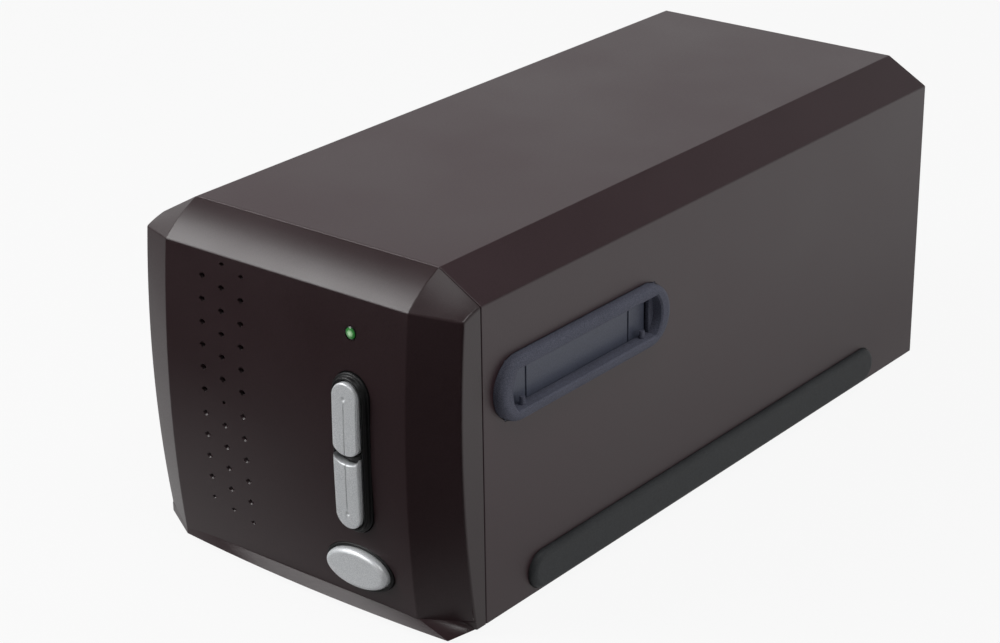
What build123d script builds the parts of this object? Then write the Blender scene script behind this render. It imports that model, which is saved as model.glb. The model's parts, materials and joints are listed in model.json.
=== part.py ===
"""Desktop scanner for 35 mm film, with a film slot right through the case.

The frame: +X is the object's right seen from the front, +Y runs to the back, +Z is up.  The origin
lies on the standing surface, under the middle of the object.  Sizes are in millimetres.  The helper
planes below count depth from the seam between the bezel and the case, and height from the case's
lower edge.
"""
from build123d import *
from math import cos, pi, radians, sin, sqrt
import os

os.makedirs("parts", exist_ok=True)

# ---------------------------------------------------------------- driving dimensions
# case
case_width = 127.0
case_height = 111.0
case_depth = 250.0
case_wall = 2.4
wall_bite = 0.5             # how far a web or sleeve runs into the wall that carries it
chamfer_width = 15.1        # each long top edge, measured across
chamfer_drop = 8.5          # and measured down
edge_round = 0.8
foot_height = 2.5
foot_radius = 8.0
foot_inset_x = 13.0
foot_inset_y = 22.0
foot_recess = 0.8
foot_edge = 0.7
seam_gap = 0.4
tongue_length = 5.0
tongue_wall = 1.6
rear_recess = 2.6
floor_vent_depth = 112.0
floor_vent_pitch = 8.0
floor_vent_count = 7
floor_vent_length = 34.0
floor_vent_width = 2.4

# bezel
face_crown = 17.0           # how far the face stands before the seam where it is fullest
face_crown_height = 52.6
face_radius = 408.0
face_top = 101.5
face_bottom = 1.8
face_foot_depth = 13.2
top_bulge = 0.6
side_top_depth = 7.6
side_top_drop = 2.2
side_mid_depth = 9.5
side_low_depth = 5.3
side_low_height = 3.6
side_foot_depth = 4.4
bezel_wall = 2.2
bezel_edge = 1.0            # rounding of the bezel's creases
rim_edge = 0.35             # rounding of the case's two end rims
sill_height = 3.0
sill_crown = 16.4
sill_corner_depth = 14.8
sill_corner_inset = 2.7
sill_side_depth = 1.76
sill_lip = 0.6              # how far the sill stands before the bezel's flat foot
sill_top_lip = 1.0
sill_middle_x = 4.0
bezel_boss_radius = 2.5

# vents in the bezel
vent_columns = 3
vent_rows = 12
vent_column_pitch = 8.05
vent_row_pitch = 7.4
vent_slant = 2.1
vent_centre_x = -24.7
vent_top = 98.5
vent_radius = 0.6
vent_end_radius = 0.35
vent_mouth = 0.7            # how much wider the mouth is than the hole
vent_mouth_depth = 0.9

# controls
button_x = 27.8
button_height = 52.6
button_width = 9.6
button_span = 47.2
button_split = 0.8
button_split_bow = 1.6
dot_radius = 0.8
dot_sink = 0.35
groove_width = 0.4
groove_sink = 0.25
groove_start = 5.0          # from the gap between the two caps
button_proud = 2.5
button_travel = 0.8
button_edge = 1.3
button_gap = 0.3
button_flange = 0.9
button_flange_thick = 1.0
collar_width = 14.1
collar_span = 52.0
collar_proud = 1.2
collar_depth = 2.8          # behind the face's crown
collar_edge = 0.8
power_height = 14.2
power_width = 24.0
power_tall = 12.4
power_proud = 3.2
power_edge = 1.7
power_rim = 1.2
power_ring_proud = 0.8
power_ring_depth = 1.2
power_ring_edge = 0.4
led_height = 90.3
led_shift = 0.5             # the lamp stands this much nearer the middle than the buttons
led_radius = 2.1
led_proud = 0.5
led_flange = 0.8
led_flange_gap = 0.5
led_flange_thick = 0.8
led_chip_radius = 1.5
led_chip_gap = 0.2
led_base = (3.8, 1.2)
plunger_radius = 1.7
plunger_length = 3.0
plunger_gap = 0.1
switch_size = 6.2
switch_thick = 3.5
switch_floor = 0.8
switch_rest = 0.2
button_slack = 0.1
button_board_width = 27.0
button_board_thick = 1.6
button_board_low = 6.0
button_board_high = 98.0
board_post_spread = 21.0
board_post_low = 24.6
board_post_high = 84.0
plug_size = (6.0, 3.9, 14.0)
plug_height = 52.0

# film path
slot_depth = 47.4           # middle of the slot, behind the seam
slot_height = 72.6
slot_length = 69.0
slot_tall = 13.4
frame_end = 7.9              # how far the frame reaches past the slot, each end
frame_band = 3.7             # and above and below it
frame_proud = 3.4
frame_round = 2.2
frame_seat = 0.6
frame_gap = 0.35
mouth_bulge = 2.6           # how far the mouth's rounded ends reach past the slot
mouth_deep = 3.6
mouth_edge = 0.5
sleeve_wall = 1.5
sleeve_room = 1.4           # how much wider the sleeve is than the slot, each side
sleeve_reach = 7.5
flap_thick = 1.8
flap_setback = 1.6
flap_gap = 0.5
flap_rest = 0.3
flap_overlap = 0.8           # how far the flap reaches below the mouth
flap_barrel_radius = 1.6
flap_pin_radius = 0.8
flap_edge = 0.5
flap_notch_inset = 9.0       # from each end of the slot
flap_notch_width = 0.8
flap_notch_sink = 0.4
pin_gap = 0.02
spring_relief = 8.0
spring_wire = 0.25
spring_turns = 6
gate_half_length = 54.0
gate_floor = 3.9
gate_side = 2.5
window_x = 37.0
window_y = 25.0
light_cone = 4.0             # how much wider the window opens downwards, each side
window_lip = 1.5
cover_half_length = 46.0
cover_thick = 2.2
detent_width = 5.0
detent_thick = 0.4
detent_length = 30.0
detent_reach = 1.2
detent_shoulder = 4.0
detent_inset = 1.0
detent_gap = 0.3
detent_rise = 0.4
peg_radius = 0.9
peg_height = 2.6
peg_inset = 4.6
peg_past_wall = 0.6
peg_root = 0.3

# side pads
pad_length = 199.0
pad_tall = 12.5
pad_proud = 2.2
pad_seat = 0.6
pad_start = 20.5
pad_low = 1.0
pad_round = 1.9
pad_gap = 0.25

# lamp above the film
lamp_width = 52.0
lamp_length = 40.0
lamp_roof_gap = 4.0
lamp_wall = 1.6
lamp_corner = 2.0
diffuser_thick = 2.5
lamp_board_thick = 1.6
lamp_chips = 5
chip_size = (3.5, 2.8, 1.2)
chip_pitch = (8.0, 12.0)

# chassis, rods and carriage
chassis_half_width = 51.0
chassis_sheet = 1.2
chassis_standoff = 2.6
chassis_start = 6.0
chassis_rear_gap = 3.0
chassis_boss_x = 30.0
chassis_boss_start = 32.0
chassis_boss_room = 52.0
flange_window = (52.0, 26.0, 5.0)
flange_window_pitch = 72.0
flange_window_height = 38.0
rod_x = 40.0
rod_height = 16.5
rod_radius = 3.0
holder_thick = 8.0
holder_top = 24.0
holder_saddle = 3.0          # how much lower the holder is between its ends
holder_cheek = 7.0
holder_middle = 10.0
holder_pocket_x = 22.0
holder_pocket_width = 12.0
holder_wall = 1.6
front_holder_depth = 10.0
holder_spread = 8.0
carriage_start = 20.0
carriage_end_gap = 2.0      # left before the rear holder at the end of the travel
carriage_half_width = 46.0
carriage_floor = 22.5
carriage_sheet = 2.5
tray_corner = 4.0
tray_window = (18.0, 34.0, 3.0)
tray_window_x = 24.0
tray_windows = (24.0, -30.0)
tray_rib = (2.0, 5.0)
tray_rib_inset = 4.0
carriage_travel = 28.0
bush_radius = 4.5
bush_length = 14.0
bush_housing = 11.0
bush_inset = 6.0
running_clearance = 0.05
axis_drop = 17.0            # optical axis below the film bed
mirror_offset = 13.4        # from the carriage's front end
mirror_width = 44.0
mirror_length = 26.0
mirror_thick = 2.0
cheek_thick = 4.0
cheek_short = 0.6
lens_offset = 88.0
lens_radius = 11.0
lens_length = 30.0
lens_bore = 8.0
lens_neck = 1.5              # step at the barrel's front
lens_neck_length = 6.0
lens_tail = 1.0
lens_recess = 4.0
lens_stop = 1.2
glass_thick = 3.0
glass_crown = 1.2
glass_gap = 0.05
clamp_width = 10.0
clamp_thick = 1.8
cradle_width = 16.0
sensor_end_room = 9.0
sensor_width = 40.0
sensor_tall = 10.0
sensor_thick = 4.0
sensor_window = (3.0, 1.5, 0.6)
sensor_screw_rise = 2.0
sensor_board_width = 62.0
sensor_board_tall = 30.0
post_width = 6.0
post_thick = 4.5
board_thick = 1.6

# drive
screw_height = 16.5
screw_radius = 3.0
journal_radius = 2.5
journal_inset = 1.0
screw_end_gap = 0.3
bearing_radius = 5.0
bearing_width = 4.0
nut_width = 16.0
nut_length = 14.0
nut_wall = 3.0
nut_seat = 0.6
gear_module = 0.5
gear_teeth = 36
pinion_teeth = 12
gear_width = 4.0
gear_backlash = 0.12
tooth_root_share = 0.31
tooth_tip_share = 0.1
motor_radius = 14.0
motor_length = 16.0
motor_edge = 1.5
motor_plug = (16.0, 10.0, 5.5)
motor_plug_depth = 3.0
motor_plug_sink = 2.5
motor_collar = 2.5           # room round the shaft where it passes the bracket
motor_shaft_rest = 1.0
motor_room = 4.0
gear_gap = 1.5
bracket_gap = 1.0
bracket_half = 24.0
bracket_foot = 12.0
bracket_screw_x = 19.0
bracket_screw_depth = 7.0
motor_bracket_thick = 1.5
motor_shaft_radius = 1.5
switch_fork_width = 12.0
switch_fork_depth = 8.0
switch_fork_tall = 9.0
switch_fork_slot = 4.0
switch_fork_floor = 2.5
flag_thick = 1.2
flag_rise = 4.0
flag_x = -28.0
flag_offset = 22.0
flag_width = 6.0

# electronics
shelf_start = 96.0
shelf_sheet = 1.2
shelf_window = (30.0, 40.0, 4.0)
shelf_window_pitch = (44.0, 60.0)
main_standoff = 4.0
main_board_start = 112.0
main_board_half_width = 45.0
main_board_gap = 2.0
main_screw_side = 5.0
main_screw_front = 6.0
main_screw_rear = 22.0
circuit_thick = 2.0
circuits = ((-14.0, 38.0, 24.0, 24.0), (20.0, 32.0, 14.0, 20.0), (22.0, 66.0, 18.0, 12.0),
            (-24.0, 76.0, 12.0, 16.0))
capacitor_radius = 4.0
capacitor_tall = 11.0
capacitors = ((-6.0, 92.0), (6.0, 92.0), (-30.0, 100.0))
socket_x = 24.0
usb_width = 12.0
usb_tall = 10.8
usb_length = 16.0
usb_wall = 1.0
usb_corner = 2.0
usb_tongue = (5.6, 3.2)
usb_deep = 9.0
jack_x = -4.0
jack_width = 9.0
jack_tall = 11.0
jack_length = 14.0
jack_bore = 2.9
jack_deep = 9.5
jack_pin = 1.0
jack_pin_sink = 1.0
rear_vents = 9
rear_vent_pitch = 5.0
rear_vent_width = 2.2
rear_vent_tall = 26.0
rear_vent_x = -28.0
socket_gap = 0.3

# fasteners
case_screw_radius = 1.5
case_screw_head = 2.9
case_screw_head_tall = 1.8
screw_head_sink = 0.2
case_screw_length = 8.0
board_screw_radius = 1.2
board_screw_head = 2.2
board_screw_head_tall = 1.3
board_screw_length = 4.5
pilot_depth = 1.2
pilot_rest = 1.0             # left undrilled past a screw's tip
boss_radius = 3.4
post_past_foot = 14.0
post_before_foot = 22.0
post_top = 22.0
post_gap = 1.2
rear_post_gap = 0.6
web_half = 1.2
rear_post_heights = (32.0, 90.0)
rear_post_length = 12.0
screw_clearance = 0.05
seat_clearance = 0.15

# ---------------------------------------------------------------- places worked out from them
half_width = case_width / 2
flat_half = half_width - chamfer_width
shoulder = case_height - chamfer_drop
reach = face_crown + button_proud
seam_y = reach - (case_depth + reach) / 2
inner_x = half_width - case_wall
rear_panel_depth = case_depth - rear_recess - case_wall
slot_low = slot_height - slot_tall / 2
slot_high = slot_height + slot_tall / 2
frame_length = slot_length + 2 * frame_end
frame_tall = slot_tall + 2 * frame_band
chassis_top = slot_low - gate_floor
chassis_end = rear_panel_depth - chassis_rear_gap
drive_room = gear_gap + gear_width + bracket_gap + motor_bracket_thick + motor_length + motor_room
rear_holder_depth = chassis_end - drive_room - holder_thick
carriage_length = rear_holder_depth - carriage_start - carriage_travel - carriage_end_gap
sensor_offset = carriage_length - sensor_end_room
axis_height = chassis_top - axis_drop
first_post = foot_inset_y + post_past_foot
last_post = case_depth - foot_inset_y - post_before_foot
post_depths = (first_post, (first_post + last_post) / 2, last_post)
chassis_floor = case_wall + chassis_standoff
deck = chassis_floor + chassis_sheet
collar_back = collar_depth - face_crown
flange_back = collar_back + button_slack + button_flange_thick
plunger_end = flange_back + plunger_length
board_front = plunger_end + button_travel + switch_rest + switch_floor


def level(height):
    """Level plane above the case's lower edge; its second axis is depth behind the seam."""
    return Plane(origin=(0, seam_y, foot_height + height), x_dir=(1, 0, 0), z_dir=(0, 0, 1))


def side(x):
    """Upright plane along the case at x; its axes are depth and height, its normal is +X."""
    return Plane(origin=(x, seam_y, foot_height), x_dir=(0, 1, 0), z_dir=(1, 0, 0))


def across(depth):
    """Upright plane across the case; its axes are X and height, its normal points forward."""
    return Plane(origin=(0, seam_y + depth, foot_height), x_dir=(1, 0, 0), z_dir=(0, -1, 0))


def block(xs, ys, zs, mode=Mode.ADD):
    """Box between pairs of x, depth and height."""
    with BuildSketch(level(zs[0])) as footprint:
        with Locations(((xs[0] + xs[1]) / 2, (ys[0] + ys[1]) / 2)):
            Rectangle(xs[1] - xs[0], ys[1] - ys[0])
    extrude(footprint.sketch, amount=zs[1] - zs[0], mode=mode)


def drum_y(x, z, radius, start, end, mode=Mode.ADD):
    """Round bar or hole from one depth to another."""
    with BuildSketch(across(end)) as disc:
        with Locations((x, z)):
            Circle(radius)
    extrude(disc.sketch, amount=end - start, mode=mode)


def drum_z(x, y, radius, low, high, mode=Mode.ADD):
    """Round bar or hole from one height to another."""
    with BuildSketch(level(low)) as disc:
        with Locations((x, y)):
            Circle(radius)
    extrude(disc.sketch, amount=high - low, mode=mode)


def write(builder, name):
    """Label a finished piece and write its file."""
    builder.part.label = name
    export_step(builder.part, f"parts/{name}.step")


def face_depth(height):
    """Depth of the bezel's convex face at a height, negative because it lies before the seam."""
    return (height - face_crown_height) ** 2 / (2 * face_radius) - face_crown


# ---------------------------------------------------------------- case
def case_section(depth, inset=0.0):
    """Outline of the case: a box with its two long top edges cut off."""
    with BuildSketch(across(depth)) as section:
        with BuildLine():
            Polyline(
                (-half_width, 0), (-half_width, shoulder), (-flat_half, case_height),
                (flat_half, case_height), (half_width, shoulder), (half_width, 0), close=True)
        make_face()
        if inset:
            offset(amount=-inset, kind=Kind.INTERSECTION)
    return section.sketch


post_places = [(sx * (inner_x - boss_radius - post_gap), y) for sx in (-1, 1) for y in post_depths]
rear_post_places = [(sx * (inner_x - boss_radius - rear_post_gap), z)
                    for sx in (-1, 1) for z in rear_post_heights]

with BuildPart() as body_cover:
    extrude(case_section(case_depth), amount=case_depth)
    long_edges = body_cover.edges().filter_by(Axis.Y).filter_by(lambda e: e.center().Z > foot_height + 1)
    fillet(long_edges, edge_round)
    end_faces = body_cover.faces().filter_by(Axis.Y)
    end_rims = end_faces.edges().filter_by(lambda e: e.center().Z > foot_height + 1)
    fillet(end_rims, rim_edge)
    extrude(case_section(case_depth + 1, case_wall), amount=case_depth + 2, mode=Mode.SUBTRACT)
    block((-inner_x, inner_x), (-1, case_depth + 1), (-1, case_wall + 1), Mode.SUBTRACT)
    for x, y in post_places:
        drum_z(x, y, boss_radius, case_wall + seat_clearance, post_top)
        wall_side = 1 if x > 0 else -1
        web = sorted((x, wall_side * (inner_x + wall_bite)))
        block(web, (y - web_half, y + web_half), (case_wall + seat_clearance, post_top))
        drum_z(x, y, case_screw_radius + screw_clearance, 0, case_screw_length + case_wall, Mode.SUBTRACT)
    for x, z in rear_post_places:
        drum_y(x, z, boss_radius, rear_panel_depth - rear_post_length, rear_panel_depth)
        wall_side = 1 if x > 0 else -1
        web = sorted((x, wall_side * (inner_x + wall_bite)))
        block(web, (rear_panel_depth - rear_post_length, rear_panel_depth), (z - web_half, z + web_half))
        drum_y(x, z, case_screw_radius + screw_clearance, rear_panel_depth - case_screw_length,
               rear_panel_depth + 1, Mode.SUBTRACT)
    for sign in (-1, 1):
        with BuildSketch(side(sign * inner_x)) as port_hole:
            with Locations((slot_depth, slot_height)):
                Rectangle(slot_length + 2 * (sleeve_room + sleeve_wall + seat_clearance),
                          slot_tall + 2 * (sleeve_room + sleeve_wall + seat_clearance))
        extrude(port_hole.sketch, amount=sign * (case_wall + 1), mode=Mode.SUBTRACT)
        with BuildSketch(side(sign * (half_width - frame_seat))) as frame_bed:
            with Locations((slot_depth, slot_height)):
                SlotOverall(frame_length + 2 * frame_gap, frame_tall + 2 * frame_gap)
        extrude(frame_bed.sketch, amount=sign * (frame_seat + 1), mode=Mode.SUBTRACT)
        with BuildSketch(side(sign * (half_width - pad_seat))) as pad_bed:
            with Locations((pad_start + pad_length / 2, pad_low + pad_tall / 2)):
                SlotOverall(pad_length + 2 * pad_gap, pad_tall + 2 * pad_gap)
        extrude(pad_bed.sketch, amount=sign * (pad_seat + 1), mode=Mode.SUBTRACT)
write(body_cover, "body_cover")

# base pan: closes the case from below and carries the chassis on bosses
pan_half = inner_x - seat_clearance
pan_start = tongue_length + seam_gap
pan_end = rear_panel_depth - seat_clearance
chassis_bosses = [(x, y) for x in (-chassis_boss_x, chassis_boss_x)
                  for y in (chassis_boss_start, chassis_end - chassis_boss_room)]
foot_places = [(sx * (half_width - foot_inset_x), y) for sx in (-1, 1)
               for y in (foot_inset_y, case_depth - foot_inset_y)]
with BuildPart() as base_pan:
    block((-pan_half, pan_half), (pan_start, pan_end), (0, case_wall))
    for x, y in chassis_bosses:
        drum_z(x, y, boss_radius, case_wall, chassis_floor)
        drum_z(x, y, board_screw_radius + screw_clearance, case_wall - pilot_depth, chassis_floor + 1,
               Mode.SUBTRACT)
    for x, y in post_places:
        drum_z(x, y, case_screw_radius + screw_clearance, -1, case_wall + 1, Mode.SUBTRACT)
        drum_z(x, y, case_screw_head + screw_clearance, -1, case_screw_head_tall, Mode.SUBTRACT)
    for x, y in foot_places:
        drum_z(x, y, foot_radius + seat_clearance, -1, foot_recess, Mode.SUBTRACT)
    with BuildSketch(level(0)) as floor_vents:
        with Locations((0, floor_vent_depth)):
            with GridLocations(floor_vent_pitch, 1.0, floor_vent_count, 1):
                SlotOverall(floor_vent_length, floor_vent_width, rotation=90)
    extrude(floor_vents.sketch, amount=case_wall, mode=Mode.SUBTRACT)
write(base_pan, "base_pan")

with BuildPart() as rubber_feet:
    for x, y in foot_places:
        drum_z(x, y, foot_radius, -foot_height, foot_recess)
    treads = rubber_feet.edges().filter_by(GeomType.CIRCLE).group_by(Axis.Z)[0]
    fillet(treads, foot_edge)
write(rubber_feet, "rubber_feet")


# ---------------------------------------------------------------- bezel
def bezel_section(x, back, top, corner, middle, low, foot, floor, bulge):
    """Side outline of the bezel at x: flat back, bulged top chamfer, convex face, short foot."""
    over_top = ((back + corner[0]) / 2 - bulge * 0.6, (top + corner[1]) / 2 + bulge)
    with BuildSketch(side(x)) as section:
        with BuildLine():
            Line((back, floor), (back, top))
            ThreePointArc((back, top), over_top, corner)
            ThreePointArc(corner, middle, low)
            Polyline(low, (foot, floor), (back, floor))
        make_face()
    return section.sketch


def bezel_body(wall, back, mode):
    """Loft through four side outlines, drawn in by a wall thickness."""
    tall = (face_top - wall * 0.9, face_bottom + wall)
    centre = dict(
        back=back, top=case_height - wall, corner=(face_depth(face_top) + wall, tall[0]),
        middle=(wall - face_crown, face_crown_height), low=(face_depth(face_bottom) + wall, tall[1]),
        foot=wall - face_foot_depth, floor=wall, bulge=top_bulge)
    outer = dict(
        back=back, top=shoulder - wall * 0.8,
        corner=(wall * 0.8 - side_top_depth, shoulder - side_top_drop - wall),
        middle=(wall - side_mid_depth, (shoulder + side_low_height) / 2),
        low=(wall - side_low_depth, side_low_height + wall), foot=wall - side_foot_depth, floor=wall,
        bulge=top_bulge * 0.3)
    places = [(-(half_width - wall), outer), (-(flat_half - wall * 0.5), centre),
              (flat_half - wall * 0.5, centre), (half_width - wall, outer)]
    loft([bezel_section(x, **sizes) for x, sizes in places], ruled=True, mode=mode)


def sill_outline(height, corner_x, corner_depth, crown, side_depth):
    """Plan of the bezel's foot; its left end follows the side chamfer, its right end is square."""
    with BuildSketch(level(height)) as plan:
        with BuildLine():
            Polyline((half_width, -seam_gap), (-half_width, -seam_gap), (-half_width, -side_low_depth),
                     (-flat_half, -face_foot_depth - sill_lip))
            ThreePointArc((-flat_half, -face_foot_depth - sill_lip), (sill_middle_x, -crown),
                          (corner_x, -corner_depth))
            Polyline((corner_x, -corner_depth), (half_width, -side_depth), (half_width, -seam_gap))
        make_face()
    return plan.sketch


def vent_places():
    """Places of the full-size vents, then of the small ones that end each column."""
    full, small = [], []
    for column in range(vent_columns):
        for row in range(vent_rows):
            x = vent_centre_x + (column - 1) * vent_column_pitch
            z = vent_top - row * vent_row_pitch - (column - 1) * vent_slant
            if z < face_top - vent_slant:
                (small if row in (0, vent_rows - 1) else full).append((x, z))
    return (full, vent_radius), (small, vent_end_radius)


led_x = button_x - led_shift
led_depth = face_depth(led_height)
power_depth = face_depth(power_height)
bezel_boss_places = [(button_x + sx * board_post_spread / 2, z)
                     for sx in (-1, 1) for z in (board_post_low, board_post_high)]

with BuildPart() as front_bezel:
    bezel_body(0.0, -seam_gap, Mode.ADD)
    creases = front_bezel.edges().filter_by(
        lambda e: (e @ 0.5).Y < seam_y - 1 and (e @ 0.5).Z > foot_height + sill_height)
    fillet(creases, bezel_edge)
    low_sill = sill_outline(
        0, half_width - sill_corner_inset, sill_corner_depth, sill_crown, sill_side_depth)
    high_sill = sill_outline(
        sill_height, flat_half, face_foot_depth + sill_lip, face_foot_depth + sill_top_lip, side_low_depth)
    loft([low_sill, high_sill], ruled=True)
    bezel_body(bezel_wall, -seam_gap + 1, Mode.SUBTRACT)
    # the tongue that slides into the case
    tongue = case_section(tongue_length, case_wall + seat_clearance)
    hollow = case_section(tongue_length, case_wall + seat_clearance + tongue_wall)
    extrude(tongue, amount=tongue_length + seam_gap + 1.5)
    extrude(hollow, amount=tongue_length + seam_gap + 2.5, mode=Mode.SUBTRACT)
    # bosses that carry the button board
    for x, z in bezel_boss_places:
        drum_y(x, z, bezel_boss_radius, face_depth(z) + bezel_wall - wall_bite, board_front)
        drum_y(x, z, board_screw_radius + screw_clearance, board_front - board_screw_length + pilot_rest,
               board_front + 1, Mode.SUBTRACT)
    # places of the collar, the power ring and the lamp
    with BuildSketch(across(0)) as openings:
        with Locations((button_x, button_height)):
            SlotOverall(collar_span + 2 * seat_clearance, collar_width + 2 * seat_clearance, rotation=90)
        with Locations((button_x, power_height)):
            Ellipse(power_width / 2 + power_rim + seat_clearance, power_tall / 2 + power_rim + seat_clearance)
        with Locations((led_x, led_height)):
            Circle(led_radius + seat_clearance)
    extrude(openings.sketch, amount=face_crown + 2, mode=Mode.SUBTRACT)
    # three slanting columns of vents, each a small hole with a wider mouth
    for places, radius in vent_places():
        with BuildSketch(across(-face_crown / 2)) as holes:
            with Locations(*places):
                Circle(radius)
        extrude(holes.sketch, amount=face_crown, mode=Mode.SUBTRACT)
        mouths = [Plane(origin=(x, seam_y + face_depth(z) + vent_mouth_depth / 2, foot_height + z),
                        x_dir=(1, 0, 0), z_dir=(0, -1, 0)) for x, z in places]
        with Locations(*mouths):
            Cone(radius, radius + vent_mouth, vent_mouth_depth, mode=Mode.SUBTRACT)
write(front_bezel, "front_bezel")

with BuildPart() as rear_panel:
    extrude(case_section(rear_panel_depth + case_wall, case_wall + seat_clearance), amount=case_wall)
    block((-inner_x, inner_x), (rear_panel_depth - 1, rear_panel_depth + case_wall + 1),
          (-1, seat_clearance), Mode.SUBTRACT)
    for x, z in rear_post_places:
        drum_y(x, z, case_screw_radius + screw_clearance, rear_panel_depth - 1,
               rear_panel_depth + case_wall + 1, Mode.SUBTRACT)
    socket_base = chassis_top + shelf_sheet + main_standoff + board_thick
    usb_z = (socket_base, socket_base + usb_tall)
    jack_z = (socket_base, socket_base + jack_tall)
    block((socket_x - usb_width / 2 - socket_gap, socket_x + usb_width / 2 + socket_gap),
          (rear_panel_depth - 1, case_depth), (usb_z[0] - socket_gap, usb_z[1] + socket_gap), Mode.SUBTRACT)
    block((jack_x - jack_width / 2 - socket_gap, jack_x + jack_width / 2 + socket_gap),
          (rear_panel_depth - 1, case_depth), (jack_z[0] - socket_gap, jack_z[1] + socket_gap), Mode.SUBTRACT)
    with BuildSketch(across(rear_panel_depth + case_wall)) as slots:
        with Locations((rear_vent_x, socket_base - rear_vent_tall)):
            with GridLocations(rear_vent_pitch, 1.0, rear_vents, 1):
                SlotOverall(rear_vent_tall, rear_vent_width, rotation=90)
    extrude(slots.sketch, amount=case_wall, mode=Mode.SUBTRACT)
write(rear_panel, "rear_panel")


# ---------------------------------------------------------------- fasteners
def pan_screw(place, up, radius, head, head_tall, length):
    """Pan head screw: the shank runs from the place along up, the head stands behind it."""
    start = Plane(origin=place, z_dir=up)
    with BuildSketch(start) as shank:
        Circle(radius)
    extrude(shank.sketch, amount=length)
    with BuildSketch(start) as pan:
        Circle(head)
    extrude(pan.sketch, amount=-head_tall)


with BuildPart() as case_screws:
    for x, y in post_places:
        pan_screw((x, seam_y + y, foot_height + case_screw_head_tall), (0, 0, 1), case_screw_radius,
                  case_screw_head, case_screw_head_tall - screw_head_sink, case_screw_length)
    for x, z in rear_post_places:
        pan_screw((x, seam_y + rear_panel_depth + case_wall, foot_height + z), (0, -1, 0), case_screw_radius,
                  case_screw_head, case_screw_head_tall, case_screw_length)
write(case_screws, "case_screws")


# ---------------------------------------------------------------- front controls
def rounded_slot(depth, span, width):
    """Upright slot shape around the two scan buttons."""
    with BuildSketch(across(depth)) as shape:
        with Locations((button_x, button_height)):
            SlotOverall(span, width, rotation=90)
    return shape.sketch


def curved_front(proud, back, xs, zs, mode=Mode.INTERSECT):
    """Block between two x, whose front follows the bezel's face, standing proud of it."""
    with BuildSketch(side(xs[0])) as profile:
        with BuildLine():
            top_point = (face_depth(zs[1]) - proud, zs[1])
            low_point = (face_depth(zs[0]) - proud, zs[0])
            middle = (zs[0] + zs[1]) / 2
            ThreePointArc(top_point, (face_depth(middle) - proud, middle), low_point)
            Polyline(low_point, (back, zs[0]), (back, zs[1]), top_point)
        make_face()
    extrude(profile.sketch, amount=xs[1] - xs[0], mode=mode)


button_zone = ((button_x - collar_width, button_x + collar_width),
               (button_height - collar_span, button_height + collar_span))
with BuildPart() as button_collar:
    extrude(rounded_slot(collar_back, collar_span, collar_width), amount=face_crown)
    curved_front(collar_proud, collar_back, *button_zone)
    fillet(button_collar.faces().sort_by(Axis.Y)[0].outer_wire().edges(), collar_edge)
    extrude(rounded_slot(collar_back + 1, button_span + 2 * button_gap, button_width + 2 * button_gap),
            amount=face_crown + 4, mode=Mode.SUBTRACT)
write(button_collar, "button_collar")

split_z = button_height


def scan_button(name, upper):
    """One silver cap with its hidden flange and stem; the two caps meet along a bowed gap."""
    sign = 1 if upper else -1
    bow = button_split_bow
    edge = button_split / 2
    far = button_span
    with BuildPart() as cap:
        extrude(rounded_slot(collar_back + button_slack, button_span, button_width), amount=face_crown)
        curved_front(button_proud, collar_back + button_slack, *button_zone)
        fillet(cap.faces().sort_by(Axis.Y)[0].outer_wire().edges(), button_edge)
        extrude(rounded_slot(flange_back, button_span + 2 * button_flange, button_width + 2 * button_flange),
                amount=button_flange_thick)
        with BuildSketch(across(flange_back + 1)) as half:
            with BuildLine():
                left = (button_x - button_width, split_z + sign * edge)
                right = (button_x + button_width, split_z + sign * edge)
                crown = (button_x, split_z + sign * edge - bow)
                ThreePointArc(left, crown, right)
                Polyline(right, (right[0], split_z + sign * far), (left[0], split_z + sign * far), left)
            make_face()
        extrude(half.sketch, amount=face_crown + 4, mode=Mode.INTERSECT)
        # the thumb groove with a small dot at its outer end
        dot_z = split_z + sign * (button_span / 2 - button_width * 0.52)
        dot_y = face_depth(dot_z) - button_proud
        drum_y(button_x, dot_z, dot_radius, dot_y - 1, dot_y + dot_sink, Mode.SUBTRACT)
        groove = sorted((split_z + sign * groove_start, dot_z - sign * 2 * dot_radius))
        block((button_x - groove_width / 2, button_x + groove_width / 2),
              (-face_crown - button_proud - 1, dot_y + groove_sink), groove, Mode.SUBTRACT)
    write(cap, name)
    return cap


upper_button = scan_button("upper_button", True)
lower_button = scan_button("lower_button", False)
switch_heights = {"upper": button_height + button_span / 4, "lower": button_height - button_span / 4,
                  "power": power_height}

ring_back = power_depth + power_ring_depth
with BuildPart() as power_ring:
    with BuildSketch(across(ring_back)) as ring:
        with Locations((button_x, power_height)):
            Ellipse(power_width / 2 + power_rim, power_tall / 2 + power_rim)
            Ellipse(power_width / 2 + button_gap, power_tall / 2 + button_gap, mode=Mode.SUBTRACT)
    extrude(ring.sketch, amount=power_ring_depth + power_ring_proud)
    fillet(power_ring.faces().sort_by(Axis.Y)[0].outer_wire().edges(), power_ring_edge)
write(power_ring, "power_ring")

power_back = ring_back + button_slack
power_flange_back = power_back + button_flange_thick
with BuildPart() as power_button:
    with BuildSketch(across(power_back)) as oval:
        with Locations((button_x, power_height)):
            Ellipse(power_width / 2, power_tall / 2)
    extrude(oval.sketch, amount=power_back - power_depth + power_proud)
    fillet(power_button.faces().sort_by(Axis.Y)[0].edges(), power_edge)
    with BuildSketch(across(power_flange_back)) as skirt:
        with Locations((button_x, power_height)):
            Ellipse(power_width / 2 + button_flange, power_tall / 2 + button_flange)
    extrude(skirt.sketch, amount=button_flange_thick)
write(power_button, "power_button")

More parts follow.
